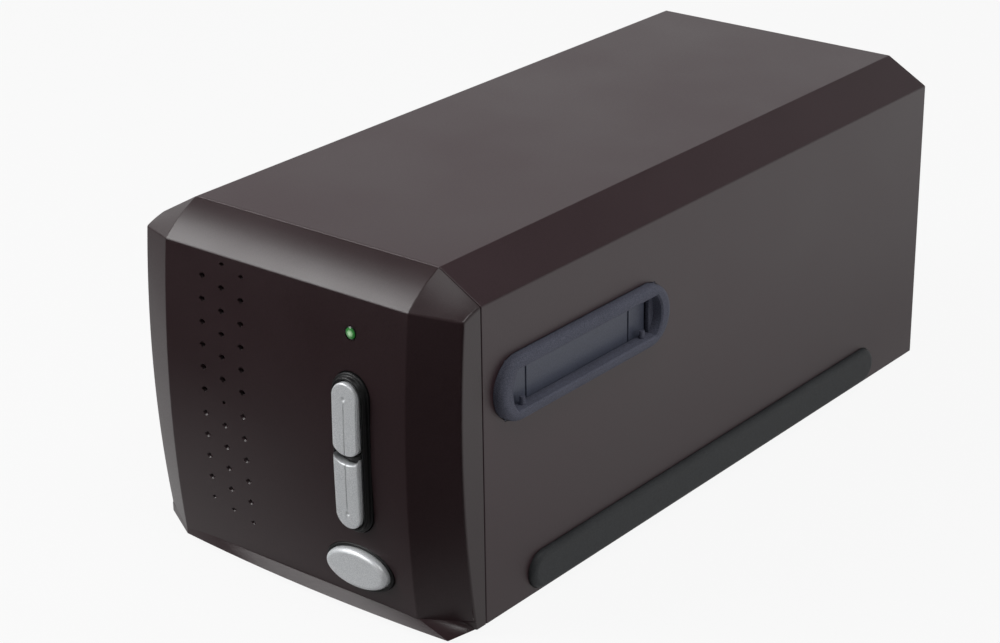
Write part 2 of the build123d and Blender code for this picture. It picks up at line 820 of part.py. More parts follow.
with BuildPart() as led_lens:
    lamp_axis = (led_x, seam_y, foot_height + led_height)
    with BuildSketch(Plane(origin=lamp_axis, x_dir=(1, 0, 0), z_dir=(0, 0, 1))) as dome:
        with BuildLine():
            rim_y = led_depth + 0.1
            back_y = led_depth + bezel_wall + led_flange_gap
            ThreePointArc((0, rim_y - led_proud), (led_radius * 0.7, rim_y - led_proud * 0.55),
                          (led_radius, rim_y))
            flange_y = back_y + led_flange_thick
            Polyline((led_radius, rim_y), (led_radius, back_y), (led_radius + led_flange, back_y),
                     (led_radius + led_flange, flange_y), (0, flange_y), (0, rim_y - led_proud))
        make_face()
    revolve(dome.sketch, axis=Axis(lamp_axis, (0, 1, 0)))
write(led_lens, "led_lens")

with BuildPart() as status_led:
    drum_y(led_x, led_height, led_chip_radius, flange_y + led_chip_gap, board_front)
    block((led_x - led_base[0] / 2, led_x + led_base[0] / 2), (board_front - led_base[1], board_front),
          (led_height - led_base[0] / 2, led_height + led_base[0] / 2))
write(status_led, "status_led")

# the small board behind the bezel with a switch behind each button
with BuildPart() as button_board:
    board_x = (button_x - button_board_width / 2, button_x + button_board_width / 2)
    block(board_x, (board_front, board_front + button_board_thick), (button_board_low, button_board_high))
    for x, z in bezel_boss_places:
        drum_y(x, z, board_screw_radius + screw_clearance, board_front - 1,
               board_front + button_board_thick + 1, Mode.SUBTRACT)
    board_back = board_front + button_board_thick
    block((board_x[0] + plug_size[0] / 2, board_x[0] + 1.5 * plug_size[0]),
          (board_back, board_back + plug_size[1]), (plug_height, plug_height + plug_size[2]))
write(button_board, "button_board")

switch_front = board_front - switch_thick
with BuildPart() as switch_housings:
    for z in switch_heights.values():
        block((button_x - switch_size / 2, button_x + switch_size / 2), (switch_front, board_front),
              (z - switch_size / 2, z + switch_size / 2))
        drum_y(button_x, z, plunger_radius + plunger_gap, switch_front - 1, board_front - switch_floor,
               Mode.SUBTRACT)
write(switch_housings, "switch_housings")

for which, z in switch_heights.items():
    plunger_start = power_flange_back if which == "power" else flange_back
    with BuildPart() as plunger:
        drum_y(button_x, z, plunger_radius, plunger_start, plunger_end)
    write(plunger, f"{which}_switch_plunger")


# ---------------------------------------------------------------- film ports
def mirrored(builder, sign):
    """The piece itself on the right side, its mirror image on the left."""
    return builder.part if sign > 0 else mirror(builder.part, about=Plane.YZ)


hinge_x = half_width - flap_setback - flap_barrel_radius
hinge_z = slot_high + sleeve_room - flap_barrel_radius - flap_rest
flap_face = half_width - flap_setback
sleeve_half = slot_length / 2 + sleeve_room
flap_half = slot_length / 2 - flap_gap

with BuildPart() as port_frame:
    # the oval outer flange with its rounded rim
    with BuildSketch(side(half_width - frame_seat)) as oval_frame:
        with Locations((slot_depth, slot_height)):
            SlotOverall(frame_length, frame_tall)
    extrude(oval_frame.sketch, amount=frame_seat + frame_proud)
    fillet(port_frame.faces().sort_by(Axis.X)[-1].edges(), frame_round)
    # the sleeve through the wall
    with BuildSketch(side(half_width - sleeve_reach)) as sleeve:
        with Locations((slot_depth, slot_height)):
            Rectangle(2 * (sleeve_half + sleeve_wall), slot_tall + 2 * (sleeve_room + sleeve_wall))
    extrude(sleeve.sketch, amount=sleeve_reach - frame_seat + wall_bite)
    with BuildSketch(side(half_width - sleeve_reach - 1)) as room:
        with Locations((slot_depth, slot_height)):
            Rectangle(2 * sleeve_half, slot_tall + 2 * sleeve_room)
    extrude(room.sketch, amount=sleeve_reach + 1 - flap_setback + flap_rest, mode=Mode.SUBTRACT)
    # the mouth: square where the flap closes it, with bulged ends and an eased rim outside
    with BuildSketch(side(half_width - sleeve_reach)) as slot_hole:
        with Locations((slot_depth, slot_height)):
            Rectangle(slot_length, slot_tall)
    extrude(slot_hole.sketch, amount=sleeve_reach + frame_proud + 1, mode=Mode.SUBTRACT)
    with BuildSketch(side(half_width + frame_proud - mouth_deep)) as bulged_mouth:
        with BuildLine():
            ends = (slot_depth - slot_length / 2, slot_depth + slot_length / 2)
            Line((ends[0], slot_low), (ends[1], slot_low))
            ThreePointArc((ends[1], slot_low), (ends[1] + mouth_bulge, slot_height), (ends[1], slot_high))
            Line((ends[1], slot_high), (ends[0], slot_high))
            ThreePointArc((ends[0], slot_high), (ends[0] - mouth_bulge, slot_height), (ends[0], slot_low))
        make_face()
    extrude(bulged_mouth.sketch, amount=mouth_deep + 1, mode=Mode.SUBTRACT)
    chamfer(port_frame.faces().sort_by(Axis.X)[-1].inner_wires()[0].edges(), mouth_edge)
    # bores for the hinge pin in both end walls
    drum_y(hinge_x, hinge_z, flap_pin_radius + pin_gap, slot_depth - sleeve_half - sleeve_wall - 1,
           slot_depth + sleeve_half + sleeve_wall + 1, Mode.SUBTRACT)
    # two small guide pegs on the sill of the mouth
    for y in (slot_depth - slot_length / 2 + peg_inset, slot_depth + slot_length / 2 - peg_inset):
        drum_z(half_width + peg_past_wall, y, peg_radius, slot_low - peg_root, slot_low + peg_height)

with BuildPart() as flap:
    with BuildSketch(side(flap_face - flap_thick)) as panel:
        with Locations((slot_depth, (slot_low - flap_overlap + hinge_z) / 2)):
            Rectangle(2 * flap_half, hinge_z - slot_low + flap_overlap)
    extrude(panel.sketch, amount=flap_thick)
    fillet(flap.edges().filter_by(Axis.Y).group_by(Axis.Z)[0], flap_edge)
    drum_y(hinge_x, hinge_z, flap_barrel_radius, slot_depth - flap_half, slot_depth + flap_half)
    drum_y(hinge_x, hinge_z, flap_pin_radius + running_clearance, slot_depth - flap_half - 1,
           slot_depth + flap_half + 1, Mode.SUBTRACT)
    # the middle of the barrel is cut away for the spring
    with BuildSketch(across(slot_depth + spring_relief / 2)) as relief:
        with Locations((hinge_x, hinge_z)):
            Rectangle(2 * (flap_barrel_radius + seat_clearance), 2 * (flap_barrel_radius + seat_clearance))
    extrude(relief.sketch, amount=spring_relief, mode=Mode.SUBTRACT)
    for sign in (-1, 1):
        y = slot_depth + sign * (slot_length / 2 - flap_notch_inset)
        block((flap_face - flap_notch_sink, flap_face + 1),
              (y - flap_notch_width / 2, y + flap_notch_width / 2),
              (slot_low - 1, hinge_z - flap_barrel_radius - flap_notch_sink), Mode.SUBTRACT)

pin_half = sleeve_half + sleeve_wall - 0.2
with BuildPart() as hinge_pin:
    drum_y(hinge_x, hinge_z, flap_pin_radius, slot_depth - pin_half, slot_depth + pin_half)

spring_length = spring_relief - 2 * flap_gap
with BuildPart() as flap_spring:
    spring_start = (hinge_x, seam_y + slot_depth - spring_length / 2, foot_height + hinge_z)
    spring_radius = flap_pin_radius + spring_wire + running_clearance
    with BuildLine() as coil:
        Helix(pitch=spring_length / spring_turns, height=spring_length, radius=spring_radius,
              center=spring_start, direction=(0, 1, 0))
    with BuildSketch(Plane(origin=coil.line @ 0, z_dir=coil.line % 0)) as wire_end:
        Circle(spring_wire)
    sweep(wire_end.sketch, path=coil.line, is_frenet=True)

flap_pins = [mirrored(hinge_pin, sign) for sign in (1, -1)]
flap_springs = [mirrored(flap_spring, sign) for sign in (1, -1)]
for sign, where in ((1, "right"), (-1, "left")):
    for builder, stem in ((port_frame, "port_frame"), (flap, "dust_flap")):
        with BuildPart() as sided:
            add(mirrored(builder, sign))
        write(sided, f"{stem}_{where}")
for pair, name in ((flap_pins, "flap_pins"), (flap_springs, "flap_springs")):
    with BuildPart() as both:
        for one in pair:
            add(one)
    write(both, name)

# long soft pads low on both sides
for sign, where in ((1, "right"), (-1, "left")):
    with BuildPart() as pad:
        with BuildSketch(side(half_width - pad_seat)) as strip:
            with Locations((pad_start + pad_length / 2, pad_low + pad_tall / 2)):
                SlotOverall(pad_length, pad_tall)
        extrude(strip.sketch, amount=pad_seat + pad_proud)
        fillet(pad.faces().sort_by(Axis.X)[-1].edges(), pad_round)
        if sign < 0:
            mirror(about=Plane.YZ, mode=Mode.REPLACE)
    write(pad, f"side_pad_{where}")

# ---------------------------------------------------------------- film gate
gate_half_width = slot_length / 2 + gate_side
gate_low = slot_low - gate_floor
with BuildPart() as film_bed:
    with BuildSketch(side(-gate_half_length)) as trough:
        with BuildLine():
            Polyline(
                (slot_depth - gate_half_width, gate_low), (slot_depth - gate_half_width, slot_high),
                (slot_depth - slot_length / 2, slot_high), (slot_depth - slot_length / 2, slot_low),
                (slot_depth + slot_length / 2, slot_low), (slot_depth + slot_length / 2, slot_high),
                (slot_depth + gate_half_width, slot_high), (slot_depth + gate_half_width, gate_low), close=True)
        make_face()
    extrude(trough.sketch, amount=2 * gate_half_length)
    with BuildSketch(level(gate_low)) as window:
        with Locations((0, slot_depth)):
            Rectangle(window_x, window_y)
    extrude(window.sketch, amount=gate_floor, mode=Mode.SUBTRACT)
    with BuildSketch(level(gate_low)) as cone:
        with Locations((0, slot_depth)):
            Rectangle(window_x + 2 * light_cone, window_y + 2 * light_cone)
    extrude(cone.sketch, amount=gate_floor - window_lip, mode=Mode.SUBTRACT)
write(film_bed, "film_bed")

with BuildPart() as film_cover:
    block((-cover_half_length, cover_half_length),
          (slot_depth - gate_half_width, slot_depth + gate_half_width), (slot_high, slot_high + cover_thick))
    block((-window_x / 2, window_x / 2), (slot_depth - window_y / 2, slot_depth + window_y / 2),
          (slot_high - 1, slot_high + cover_thick + 1), Mode.SUBTRACT)
    for sign in (-1, 1):
        y = slot_depth + sign * (slot_length / 2 - detent_width / 2 - detent_inset)
        room = (detent_length / 2 + detent_gap, detent_width / 2 + detent_gap)
        block((-room[0], room[0]), (y - room[1], y + room[1]),
              (slot_high - 1, slot_high + detent_thick + detent_rise), Mode.SUBTRACT)
write(film_cover, "film_cover")

with BuildPart() as detent_springs:
    for sign in (-1, 1):
        y = slot_depth + sign * (slot_length / 2 - detent_width / 2 - detent_inset)
        top = slot_high + detent_thick + detent_rise
        with BuildSketch(across(y + detent_width / 2)) as leaf:
            with BuildLine():
                end, bend, tip = detent_length / 2, detent_shoulder, slot_high - detent_reach
                Polyline((-end, top), (-bend, top - detent_thick), (0, tip), (bend, top - detent_thick),
                         (end, top), (end, top - detent_thick), (bend, top - 2 * detent_thick),
                         (0, tip - detent_thick), (-bend, top - 2 * detent_thick),
                         (-end, top - detent_thick), close=True)
            make_face()
        extrude(leaf.sketch, amount=detent_width)
write(detent_springs, "detent_springs")

# ---------------------------------------------------------------- lamp
lamp_low = slot_high + cover_thick
lamp_tall = case_height - case_wall - lamp_roof_gap - lamp_low
with BuildPart() as lamp_housing:
    block((-lamp_width / 2, lamp_width / 2), (slot_depth - lamp_length / 2, slot_depth + lamp_length / 2),
          (lamp_low, lamp_low + lamp_tall))
    fillet(lamp_housing.edges().filter_by(Axis.Z), lamp_corner)
    block((-lamp_width / 2 + lamp_wall, lamp_width / 2 - lamp_wall),
          (slot_depth - lamp_length / 2 + lamp_wall, slot_depth + lamp_length / 2 - lamp_wall),
          (lamp_low - 1, lamp_low + lamp_tall - lamp_wall), Mode.SUBTRACT)
write(lamp_housing, "lamp_housing")

lamp_room = (lamp_width / 2 - lamp_wall - seat_clearance, lamp_length / 2 - lamp_wall - seat_clearance)
with BuildPart() as lamp_diffuser:
    block((-lamp_room[0], lamp_room[0]), (slot_depth - lamp_room[1], slot_depth + lamp_room[1]),
          (lamp_low, lamp_low + diffuser_thick))
write(lamp_diffuser, "lamp_diffuser")

lamp_ceiling = lamp_low + lamp_tall - lamp_wall
with BuildPart() as lamp_board:
    block((-lamp_room[0], lamp_room[0]), (slot_depth - lamp_room[1], slot_depth + lamp_room[1]),
          (lamp_ceiling - lamp_board_thick, lamp_ceiling))
    with BuildSketch(level(lamp_ceiling - lamp_board_thick)) as chips:
        with Locations((0, slot_depth)):
            with GridLocations(*chip_pitch, lamp_chips, 2):
                Rectangle(chip_size[0], chip_size[1])
    extrude(chips.sketch, amount=-chip_size[2])
write(lamp_board, "lamp_board")

# ---------------------------------------------------------------- chassis and rods
with BuildPart() as chassis:
    with BuildSketch(across(chassis_end)) as channel:
        with BuildLine():
            inner = chassis_half_width - chassis_sheet
            Polyline(
                (-chassis_half_width, chassis_floor), (-chassis_half_width, chassis_top), (-inner, chassis_top),
                (-inner, deck), (inner, deck), (inner, chassis_top), (chassis_half_width, chassis_top),
                (chassis_half_width, chassis_floor), close=True)
        make_face()
    extrude(channel.sketch, amount=chassis_end - chassis_start)
    outer_bends = chassis.edges().filter_by(Axis.Y).group_by(Axis.Z)[0]
    fillet(outer_bends, chassis_sheet * 0.9)
    # lightening windows in the flanges and a long opening under the drive screw
    with BuildSketch(side(-chassis_half_width - 1)) as flange_windows:
        with Locations(((chassis_start + chassis_end) / 2, flange_window_height)):
            with GridLocations(flange_window_pitch, 1.0, 3, 1):
                RectangleRounded(*flange_window)
    extrude(flange_windows.sketch, amount=2 * chassis_half_width + 2, mode=Mode.SUBTRACT)
    for x, y in chassis_bosses:
        drum_z(x, y, board_screw_radius + screw_clearance, chassis_floor - 1, deck + 1, Mode.SUBTRACT)
write(chassis, "chassis")


def rod_holder(name, depth):
    """Block across the chassis with bores for both rods and for the screw's bearing."""
    with BuildPart() as holder:
        with BuildSketch(across(depth + holder_thick)) as outline:
            with BuildLine():
                half = rod_x + holder_spread
                cheek, saddle = rod_x - holder_cheek, holder_top - holder_saddle
                Polyline((-half, deck), (-half, holder_top), (-cheek, holder_top), (-holder_middle, saddle),
                         (holder_middle, saddle), (cheek, holder_top), (half, holder_top), (half, deck),
                         close=True)
            make_face()
        extrude(outline.sketch, amount=holder_thick)
        for x in (-rod_x, rod_x):
            drum_y(x, rod_height, rod_radius + pin_gap, depth - 1, depth + holder_thick + 1, Mode.SUBTRACT)
        drum_y(0, screw_height, bearing_radius + pin_gap, depth - 1, depth + holder_thick + 1, Mode.SUBTRACT)
        for x in (-holder_pocket_x, holder_pocket_x):
            block((x - holder_pocket_width / 2, x + holder_pocket_width / 2),
                  (depth + holder_wall, depth + holder_thick - holder_wall),
                  (deck + holder_wall, holder_top + 1), Mode.SUBTRACT)
    write(holder, name)


rod_holder("front_rod_holder", front_holder_depth)
rod_holder("rear_rod_holder", rear_holder_depth)
rear_holder_end = rear_holder_depth + holder_thick

with BuildPart() as guide_rods:
    for x in (-rod_x, rod_x):
        drum_y(x, rod_height, rod_radius, front_holder_depth, rear_holder_end)
    chamfer(guide_rods.edges().filter_by(GeomType.CIRCLE), 0.5)
write(guide_rods, "guide_rods")

# ---------------------------------------------------------------- carriage
carriage_end = carriage_start + carriage_length
bush_places = [(x, y) for x in (-rod_x, rod_x)
               for y in (carriage_start + bush_inset, carriage_end - bush_inset - bush_length)]
mirror_y = carriage_start + mirror_offset
lens_y = carriage_start + lens_offset
sensor_y = carriage_start + sensor_offset
nut_y = carriage_start + carriage_length / 2
carriage_deck = carriage_floor + carriage_sheet
lens_start = lens_y - lens_length / 2
post_x = (sensor_board_width / 2 - post_width, sensor_board_width / 2)
flag_y = carriage_start + flag_offset
sensor_screw_x = (sensor_board_width - post_width) / 2
sensor_screw_height = axis_height + sensor_screw_rise
sensor_board_y = sensor_y + sensor_thick

with BuildPart() as carriage:
    with BuildSketch(level(carriage_floor)) as tray:
        with Locations((0, carriage_start + carriage_length / 2)):
            RectangleRounded(2 * carriage_half_width, carriage_length, tray_corner)
            with Locations(*[(sx * tray_window_x, y) for sx in (-1, 1) for y in tray_windows]):
                RectangleRounded(*tray_window, mode=Mode.SUBTRACT)
    extrude(tray.sketch, amount=carriage_sheet)
    # raised edges along both sides
    for sign in (-1, 1):
        edge = sorted((sign * carriage_half_width, sign * (carriage_half_width - tray_rib[0])))
        block(edge, (carriage_start + tray_rib_inset, carriage_end - tray_rib_inset),
              (carriage_deck, carriage_deck + tray_rib[1]))
    # bush housings round the rods
    for x, y in bush_places:
        block((x - bush_housing / 2, x + bush_housing / 2), (y, y + bush_length),
              (rod_height - bush_housing / 2, carriage_floor))
        drum_y(x, rod_height, bush_radius + pin_gap, y - 1, y + bush_length + 1, Mode.SUBTRACT)
    # cheeks that hold the mirror at 45 degrees
    drop = mirror_thick / sqrt(2)
    lean = mirror_length / 2 / sqrt(2) - cheek_short
    for sign in (-1, 1):
        xs = sorted((sign * mirror_width / 2, sign * (mirror_width / 2 - cheek_thick)))
        with BuildSketch(side(xs[0])) as cheek:
            with BuildLine():
                Polyline(
                    (mirror_y - lean - drop, carriage_floor),
                    (mirror_y - lean - drop, axis_height + lean - drop),
                    (mirror_y + lean - drop, axis_height - lean - drop),
                    (mirror_y + lean - drop, carriage_floor), close=True)
            make_face()
        extrude(cheek.sketch, amount=cheek_thick)
    # cradle under the lens
    block((-cradle_width, cradle_width), (lens_y - clamp_width / 2, lens_y + clamp_width / 2),
          (carriage_floor, axis_height))
    drum_y(0, axis_height, lens_radius + pin_gap, lens_start - 1, lens_start + lens_length + 1, Mode.SUBTRACT)
    # posts for the sensor board
    for sign in (-1, 1):
        xs = sorted((sign * post_x[0], sign * post_x[1]))
        block(xs, (sensor_board_y + board_thick, sensor_board_y + board_thick + post_thick),
              (carriage_floor, sensor_screw_height + post_width))
        drum_y(sign * sensor_screw_x, sensor_screw_height, board_screw_radius + screw_clearance,
               sensor_board_y, sensor_board_y + board_thick + post_thick - pilot_rest, Mode.SUBTRACT)
    # blade that tells the home switch where the carriage is
    block((flag_x - flag_thick / 2, flag_x + flag_thick / 2),
          (flag_y - flag_width / 2, flag_y + flag_width / 2), (deck + flag_rise, carriage_floor))
    # seat of the drive nut
    block((-nut_width / 2, nut_width / 2), (nut_y - nut_length / 2, nut_y + nut_length / 2),
          (carriage_floor - nut_seat, carriage_floor))
write(carriage, "carriage")

with BuildPart() as carriage_bushes:
    for x, y in bush_places:
        drum_y(x, rod_height, bush_radius, y, y + bush_length)
        drum_y(x, rod_height, rod_radius + running_clearance, y - 1, y + bush_length + 1, Mode.SUBTRACT)
write(carriage_bushes, "carriage_bushes")

mirror_plane = Plane(origin=(0, seam_y + mirror_y, foot_height + axis_height), x_dir=(1, 0, 0),
                     z_dir=(0, 1, 1))
with BuildPart() as scan_mirror:
    with BuildSketch(mirror_plane) as glass_face:
        Rectangle(mirror_width, mirror_length)
    extrude(glass_face.sketch, amount=-mirror_thick)
write(scan_mirror, "mirror")


def lens_turning(points, name):
    """Turn a profile of (radius, depth) points about the optical axis."""
    profile_plane = Plane(origin=(0, seam_y, foot_height + axis_height), x_dir=(1, 0, 0), z_dir=(0, 0, 1))
    with BuildPart() as turned:
        with BuildSketch(profile_plane) as profile:
            with BuildLine():
                Polyline(*points, close=True)
            make_face()
        revolve(profile.sketch, axis=Axis(profile_plane.origin, (0, 1, 0)))
    write(turned, name)


lens_end = lens_start + lens_length
front_seat = lens_start + lens_recess
rear_seat = lens_end - lens_recess
neck_end = lens_start + lens_neck_length
lens_turning(
    [(lens_bore - lens_stop, front_seat), (lens_bore, front_seat), (lens_bore, lens_start),
     (lens_radius - lens_neck, lens_start), (lens_radius - lens_neck, neck_end), (lens_radius, neck_end),
     (lens_radius, rear_seat), (lens_radius - lens_tail, rear_seat), (lens_radius - lens_tail, lens_end),
     (lens_bore, lens_end), (lens_bore, rear_seat), (lens_bore - lens_stop, rear_seat)], "lens_barrel")

with BuildPart() as lens_glasses:
    glass_plane = Plane(origin=(0, seam_y, foot_height + axis_height), x_dir=(1, 0, 0), z_dir=(0, 0, 1))
    for flat, sign in ((front_seat, -1), (rear_seat, 1)):
        with BuildSketch(glass_plane) as glass:
            with BuildLine():
                radius = lens_bore - glass_gap
                rim_depth = flat + sign * (glass_thick - glass_crown)
                crown = flat + sign * glass_thick
                Polyline((0, crown), (0, flat), (radius, flat), (radius, rim_depth))
                ball = (radius ** 2 + glass_crown ** 2) / (2 * glass_crown)
                sag = ball - sqrt(ball ** 2 - (radius / 2) ** 2)
                ThreePointArc((radius, rim_depth), (radius / 2, crown - sign * sag), (0, crown))
            make_face()
        revolve(glass.sketch, axis=Axis(glass_plane.origin, (0, 1, 0)))
write(lens_glasses, "lens_glasses")

with BuildPart() as lens_clamp:
    with BuildSketch(across(lens_y + clamp_width / 2)) as band:
        with Locations((0, axis_height)):
            Circle(lens_radius + clamp_thick)
            Circle(lens_radius + glass_gap, mode=Mode.SUBTRACT)
            with Locations((0, -cradle_width)):
                Rectangle(2 * cradle_width, 2 * cradle_width, mode=Mode.SUBTRACT)
            for sign in (-1, 1):
                with Locations((sign * (lens_radius + glass_gap + cradle_width) / 2, clamp_thick / 2)):
                    Rectangle(cradle_width - lens_radius - glass_gap, clamp_thick)
    extrude(band.sketch, amount=clamp_width)
write(lens_clamp, "lens_clamp")

with BuildPart() as image_sensor:
    block((-sensor_width / 2, sensor_width / 2), (sensor_y, sensor_board_y),
          (axis_height - sensor_tall / 2, axis_height + sensor_tall / 2))
    rim, half_tall, sink = sensor_window
    block((-sensor_width / 2 + rim, sensor_width / 2 - rim), (sensor_y - 1, sensor_y + sink),
          (axis_height - half_tall, axis_height + half_tall), Mode.SUBTRACT)
write(image_sensor, "image_sensor")

with BuildPart() as sensor_board:
    block((-sensor_board_width / 2, sensor_board_width / 2), (sensor_board_y, sensor_board_y + board_thick),
          (axis_height - sensor_board_tall / 2, axis_height + sensor_board_tall / 2))
    for sign in (-1, 1):
        drum_y(sign * sensor_screw_x, sensor_screw_height, board_screw_radius + screw_clearance,
               sensor_board_y - 1, sensor_board_y + board_thick + 1, Mode.SUBTRACT)
write(sensor_board, "sensor_board")

# ---------------------------------------------------------------- drive
gear_start = rear_holder_end + gear_gap
gear_end = gear_start + gear_width
bracket_depth = gear_end + bracket_gap
gear_radius = gear_module * gear_teeth / 2
pinion_radius = gear_module * pinion_teeth / 2
motor_height = screw_height + gear_radius + pinion_radius

with BuildPart() as drive_nut:
    block((-nut_width / 2, nut_width / 2), (nut_y - nut_length / 2, nut_y + nut_length / 2),
          (screw_height - screw_radius - nut_wall, carriage_floor - nut_seat))
    drum_y(0, screw_height, screw_radius + running_clearance, nut_y - nut_length, nut_y + nut_length,
           Mode.SUBTRACT)
write(drive_nut, "drive_nut")

with BuildPart() as lead_screw:
    drum_y(0, screw_height, screw_radius, front_holder_depth + holder_thick + screw_end_gap,
           rear_holder_depth - screw_end_gap)
    drum_y(0, screw_height, journal_radius, front_holder_depth + journal_inset, gear_end)
write(lead_screw, "lead_screw")

with BuildPart() as screw_bearings:
    for y in (front_holder_depth + holder_thick - bearing_width, rear_holder_depth):
        drum_y(0, screw_height, bearing_radius, y, y + bearing_width)
        drum_y(0, screw_height, journal_radius + running_clearance, y - 1, y + bearing_width + 1,
               Mode.SUBTRACT)
write(screw_bearings, "screw_bearings")


def gear_outline(teeth, centre_z, bore, turn):
    """Spur gear outline from straight-flanked teeth about (0, centre_z)."""
    pitch_radius = gear_module * teeth / 2
    tip = pitch_radius + gear_module
    root = pitch_radius - 1.25 * gear_module
    tooth = 360.0 / teeth
    slack = gear_backlash / pitch_radius * 180 / pi / 2
    points = []
    for k in range(teeth):
        for radius, share in ((root, -tooth_root_share), (tip, -tooth_tip_share),
                              (tip, tooth_tip_share), (root, tooth_root_share)):
            bite = slack if share > 0 else -slack
            angle = radians(turn + (k + share) * tooth - bite)
            points.append((radius * cos(angle), centre_z + radius * sin(angle)))
    with BuildSketch(across(gear_end)) as outline:
        with BuildLine():
            Polyline(*points, close=True)
        make_face()
        with Locations((0, centre_z)):
            Circle(bore, mode=Mode.SUBTRACT)
    return outline.sketch


with BuildPart() as screw_gear:
    extrude(gear_outline(gear_teeth, screw_height, journal_radius + pin_gap, 90.0), amount=gear_width)
write(screw_gear, "screw_gear")

shaft_end = bracket_depth + motor_bracket_thick + motor_length
with BuildPart() as motor_pinion:
    half_tooth = 180.0 / pinion_teeth
    extrude(gear_outline(pinion_teeth, motor_height, motor_shaft_radius - wall_bite, 90.0 + half_tooth),
            amount=gear_width)
    drum_y(0, motor_height, motor_shaft_radius, gear_start, shaft_end - motor_shaft_rest)
write(motor_pinion, "motor_pinion")

motor_depth = bracket_depth + motor_bracket_thick
with BuildPart() as stepper_motor:
    drum_y(0, motor_height, motor_radius, motor_depth, motor_depth + motor_length)
    fillet(stepper_motor.edges().filter_by(GeomType.CIRCLE).group_by(Axis.Y)[-1], motor_edge)
    drum_y(0, motor_height, motor_shaft_radius + running_clearance, motor_depth - 1,
           shaft_end - motor_shaft_rest + running_clearance, Mode.SUBTRACT)
    plug_low = motor_height + motor_radius - motor_plug_sink
    block((-motor_plug[0] / 2, motor_plug[0] / 2),
          (motor_depth + motor_plug_depth, motor_depth + motor_plug_depth + motor_plug[1]),
          (plug_low, plug_low + motor_plug[2]))
write(stepper_motor, "stepper_motor")

with BuildPart() as motor_bracket:
    block((-bracket_half, bracket_half), (bracket_depth, bracket_depth + motor_bracket_thick),
          (deck, motor_height + motor_radius))
    block((-bracket_half, bracket_half), (bracket_depth, bracket_depth + bracket_foot),
          (deck, deck + motor_bracket_thick))
    drum_y(0, motor_height, motor_shaft_radius + motor_collar, bracket_depth - 1,
           bracket_depth + motor_bracket_thick + 1, Mode.SUBTRACT)
    bracket_screw_places = [(sx * bracket_screw_x, bracket_depth + bracket_screw_depth) for sx in (-1, 1)]
    for x, y in bracket_screw_places:
        drum_z(x, y, board_screw_radius + screw_clearance, deck - 1, deck + 3, Mode.SUBTRACT)
write(motor_bracket, "motor_bracket")

with BuildPart() as home_switch:
    block((flag_x - switch_fork_width / 2, flag_x + switch_fork_width / 2),
          (flag_y - switch_fork_depth / 2, flag_y + switch_fork_depth / 2), (deck, deck + switch_fork_tall))
    block((flag_x - switch_fork_slot / 2, flag_x + switch_fork_slot / 2),
          (flag_y - switch_fork_depth, flag_y + switch_fork_depth),
          (deck + switch_fork_floor, deck + switch_fork_tall + 1),
          Mode.SUBTRACT)
write(home_switch, "home_switch")

# ---------------------------------------------------------------- electronics
shelf_top = chassis_top + shelf_sheet
board_low = shelf_top + main_standoff
main_board_end = rear_panel_depth - main_board_gap
main_screw_places = [(sx * (main_board_half_width - main_screw_side), y) for sx in (-1, 1)
                     for y in (main_board_start + main_screw_front, main_board_end - main_screw_rear)]
with BuildPart() as board_shelf:
    block((-chassis_half_width, chassis_half_width), (shelf_start, chassis_end), (chassis_top, shelf_top))
    for x, y in main_screw_places:
        drum_z(x, y, boss_radius - 0.4, shelf_top, board_low)
        drum_z(x, y, board_screw_radius + screw_clearance, chassis_top - 1, board_low + 1, Mode.SUBTRACT)
    with BuildSketch(level(chassis_top)) as shelf_windows:
        with Locations((0, (shelf_start + chassis_end) / 2)):
            with GridLocations(*shelf_window_pitch, 2, 2):
                RectangleRounded(*shelf_window)
    extrude(shelf_windows.sketch, amount=shelf_sheet, mode=Mode.SUBTRACT)
write(board_shelf, "board_shelf")

board_top = board_low + board_thick
with BuildPart() as main_board:
    block((-main_board_half_width, main_board_half_width), (main_board_start, main_board_end),
          (board_low, board_top))
    for x, y in main_screw_places:
        drum_z(x, y, board_screw_radius + screw_clearance, board_low - 1, board_top + 1, Mode.SUBTRACT)
    for x, along, wide, long in circuits:
        y = main_board_start + along
        block((x - wide / 2, x + wide / 2), (y - long / 2, y + long / 2),
              (board_top, board_top + circuit_thick))
    for x, along in capacitors:
        drum_z(x, main_board_start + along, capacitor_radius, board_top, board_top + capacitor_tall)
write(main_board, "main_board")

socket_end = rear_panel_depth + case_wall
with BuildPart() as usb_socket:
    block((socket_x - usb_width / 2, socket_x + usb_width / 2), (socket_end - usb_length, socket_end), usb_z)
    with BuildSketch(across(socket_end)) as usb_mouth:
        with BuildLine():
            mouth_half = usb_width / 2 - usb_wall
            low, high = usb_z[0] + usb_wall, usb_z[1] - usb_wall
            left, right = socket_x - mouth_half, socket_x + mouth_half
            Polyline((left, low), (left, high - usb_corner), (left + usb_corner, high),
                     (right - usb_corner, high), (right, high - usb_corner), (right, low), close=True)
        make_face()
        with Locations((socket_x, (low + high) / 2)):
            Rectangle(*usb_tongue, mode=Mode.SUBTRACT)
    extrude(usb_mouth.sketch, amount=usb_deep, mode=Mode.SUBTRACT)
write(usb_socket, "usb_socket")

with BuildPart() as dc_jack:
    block((jack_x - jack_width / 2, jack_x + jack_width / 2), (socket_end - jack_length, socket_end), jack_z)
    jack_axis = jack_z[0] + jack_tall / 2
    drum_y(jack_x, jack_axis, jack_bore, socket_end - jack_deep, socket_end + 1, Mode.SUBTRACT)
    drum_y(jack_x, jack_axis, jack_pin, socket_end - jack_deep - wall_bite, socket_end - jack_pin_sink)
write(dc_jack, "dc_jack")

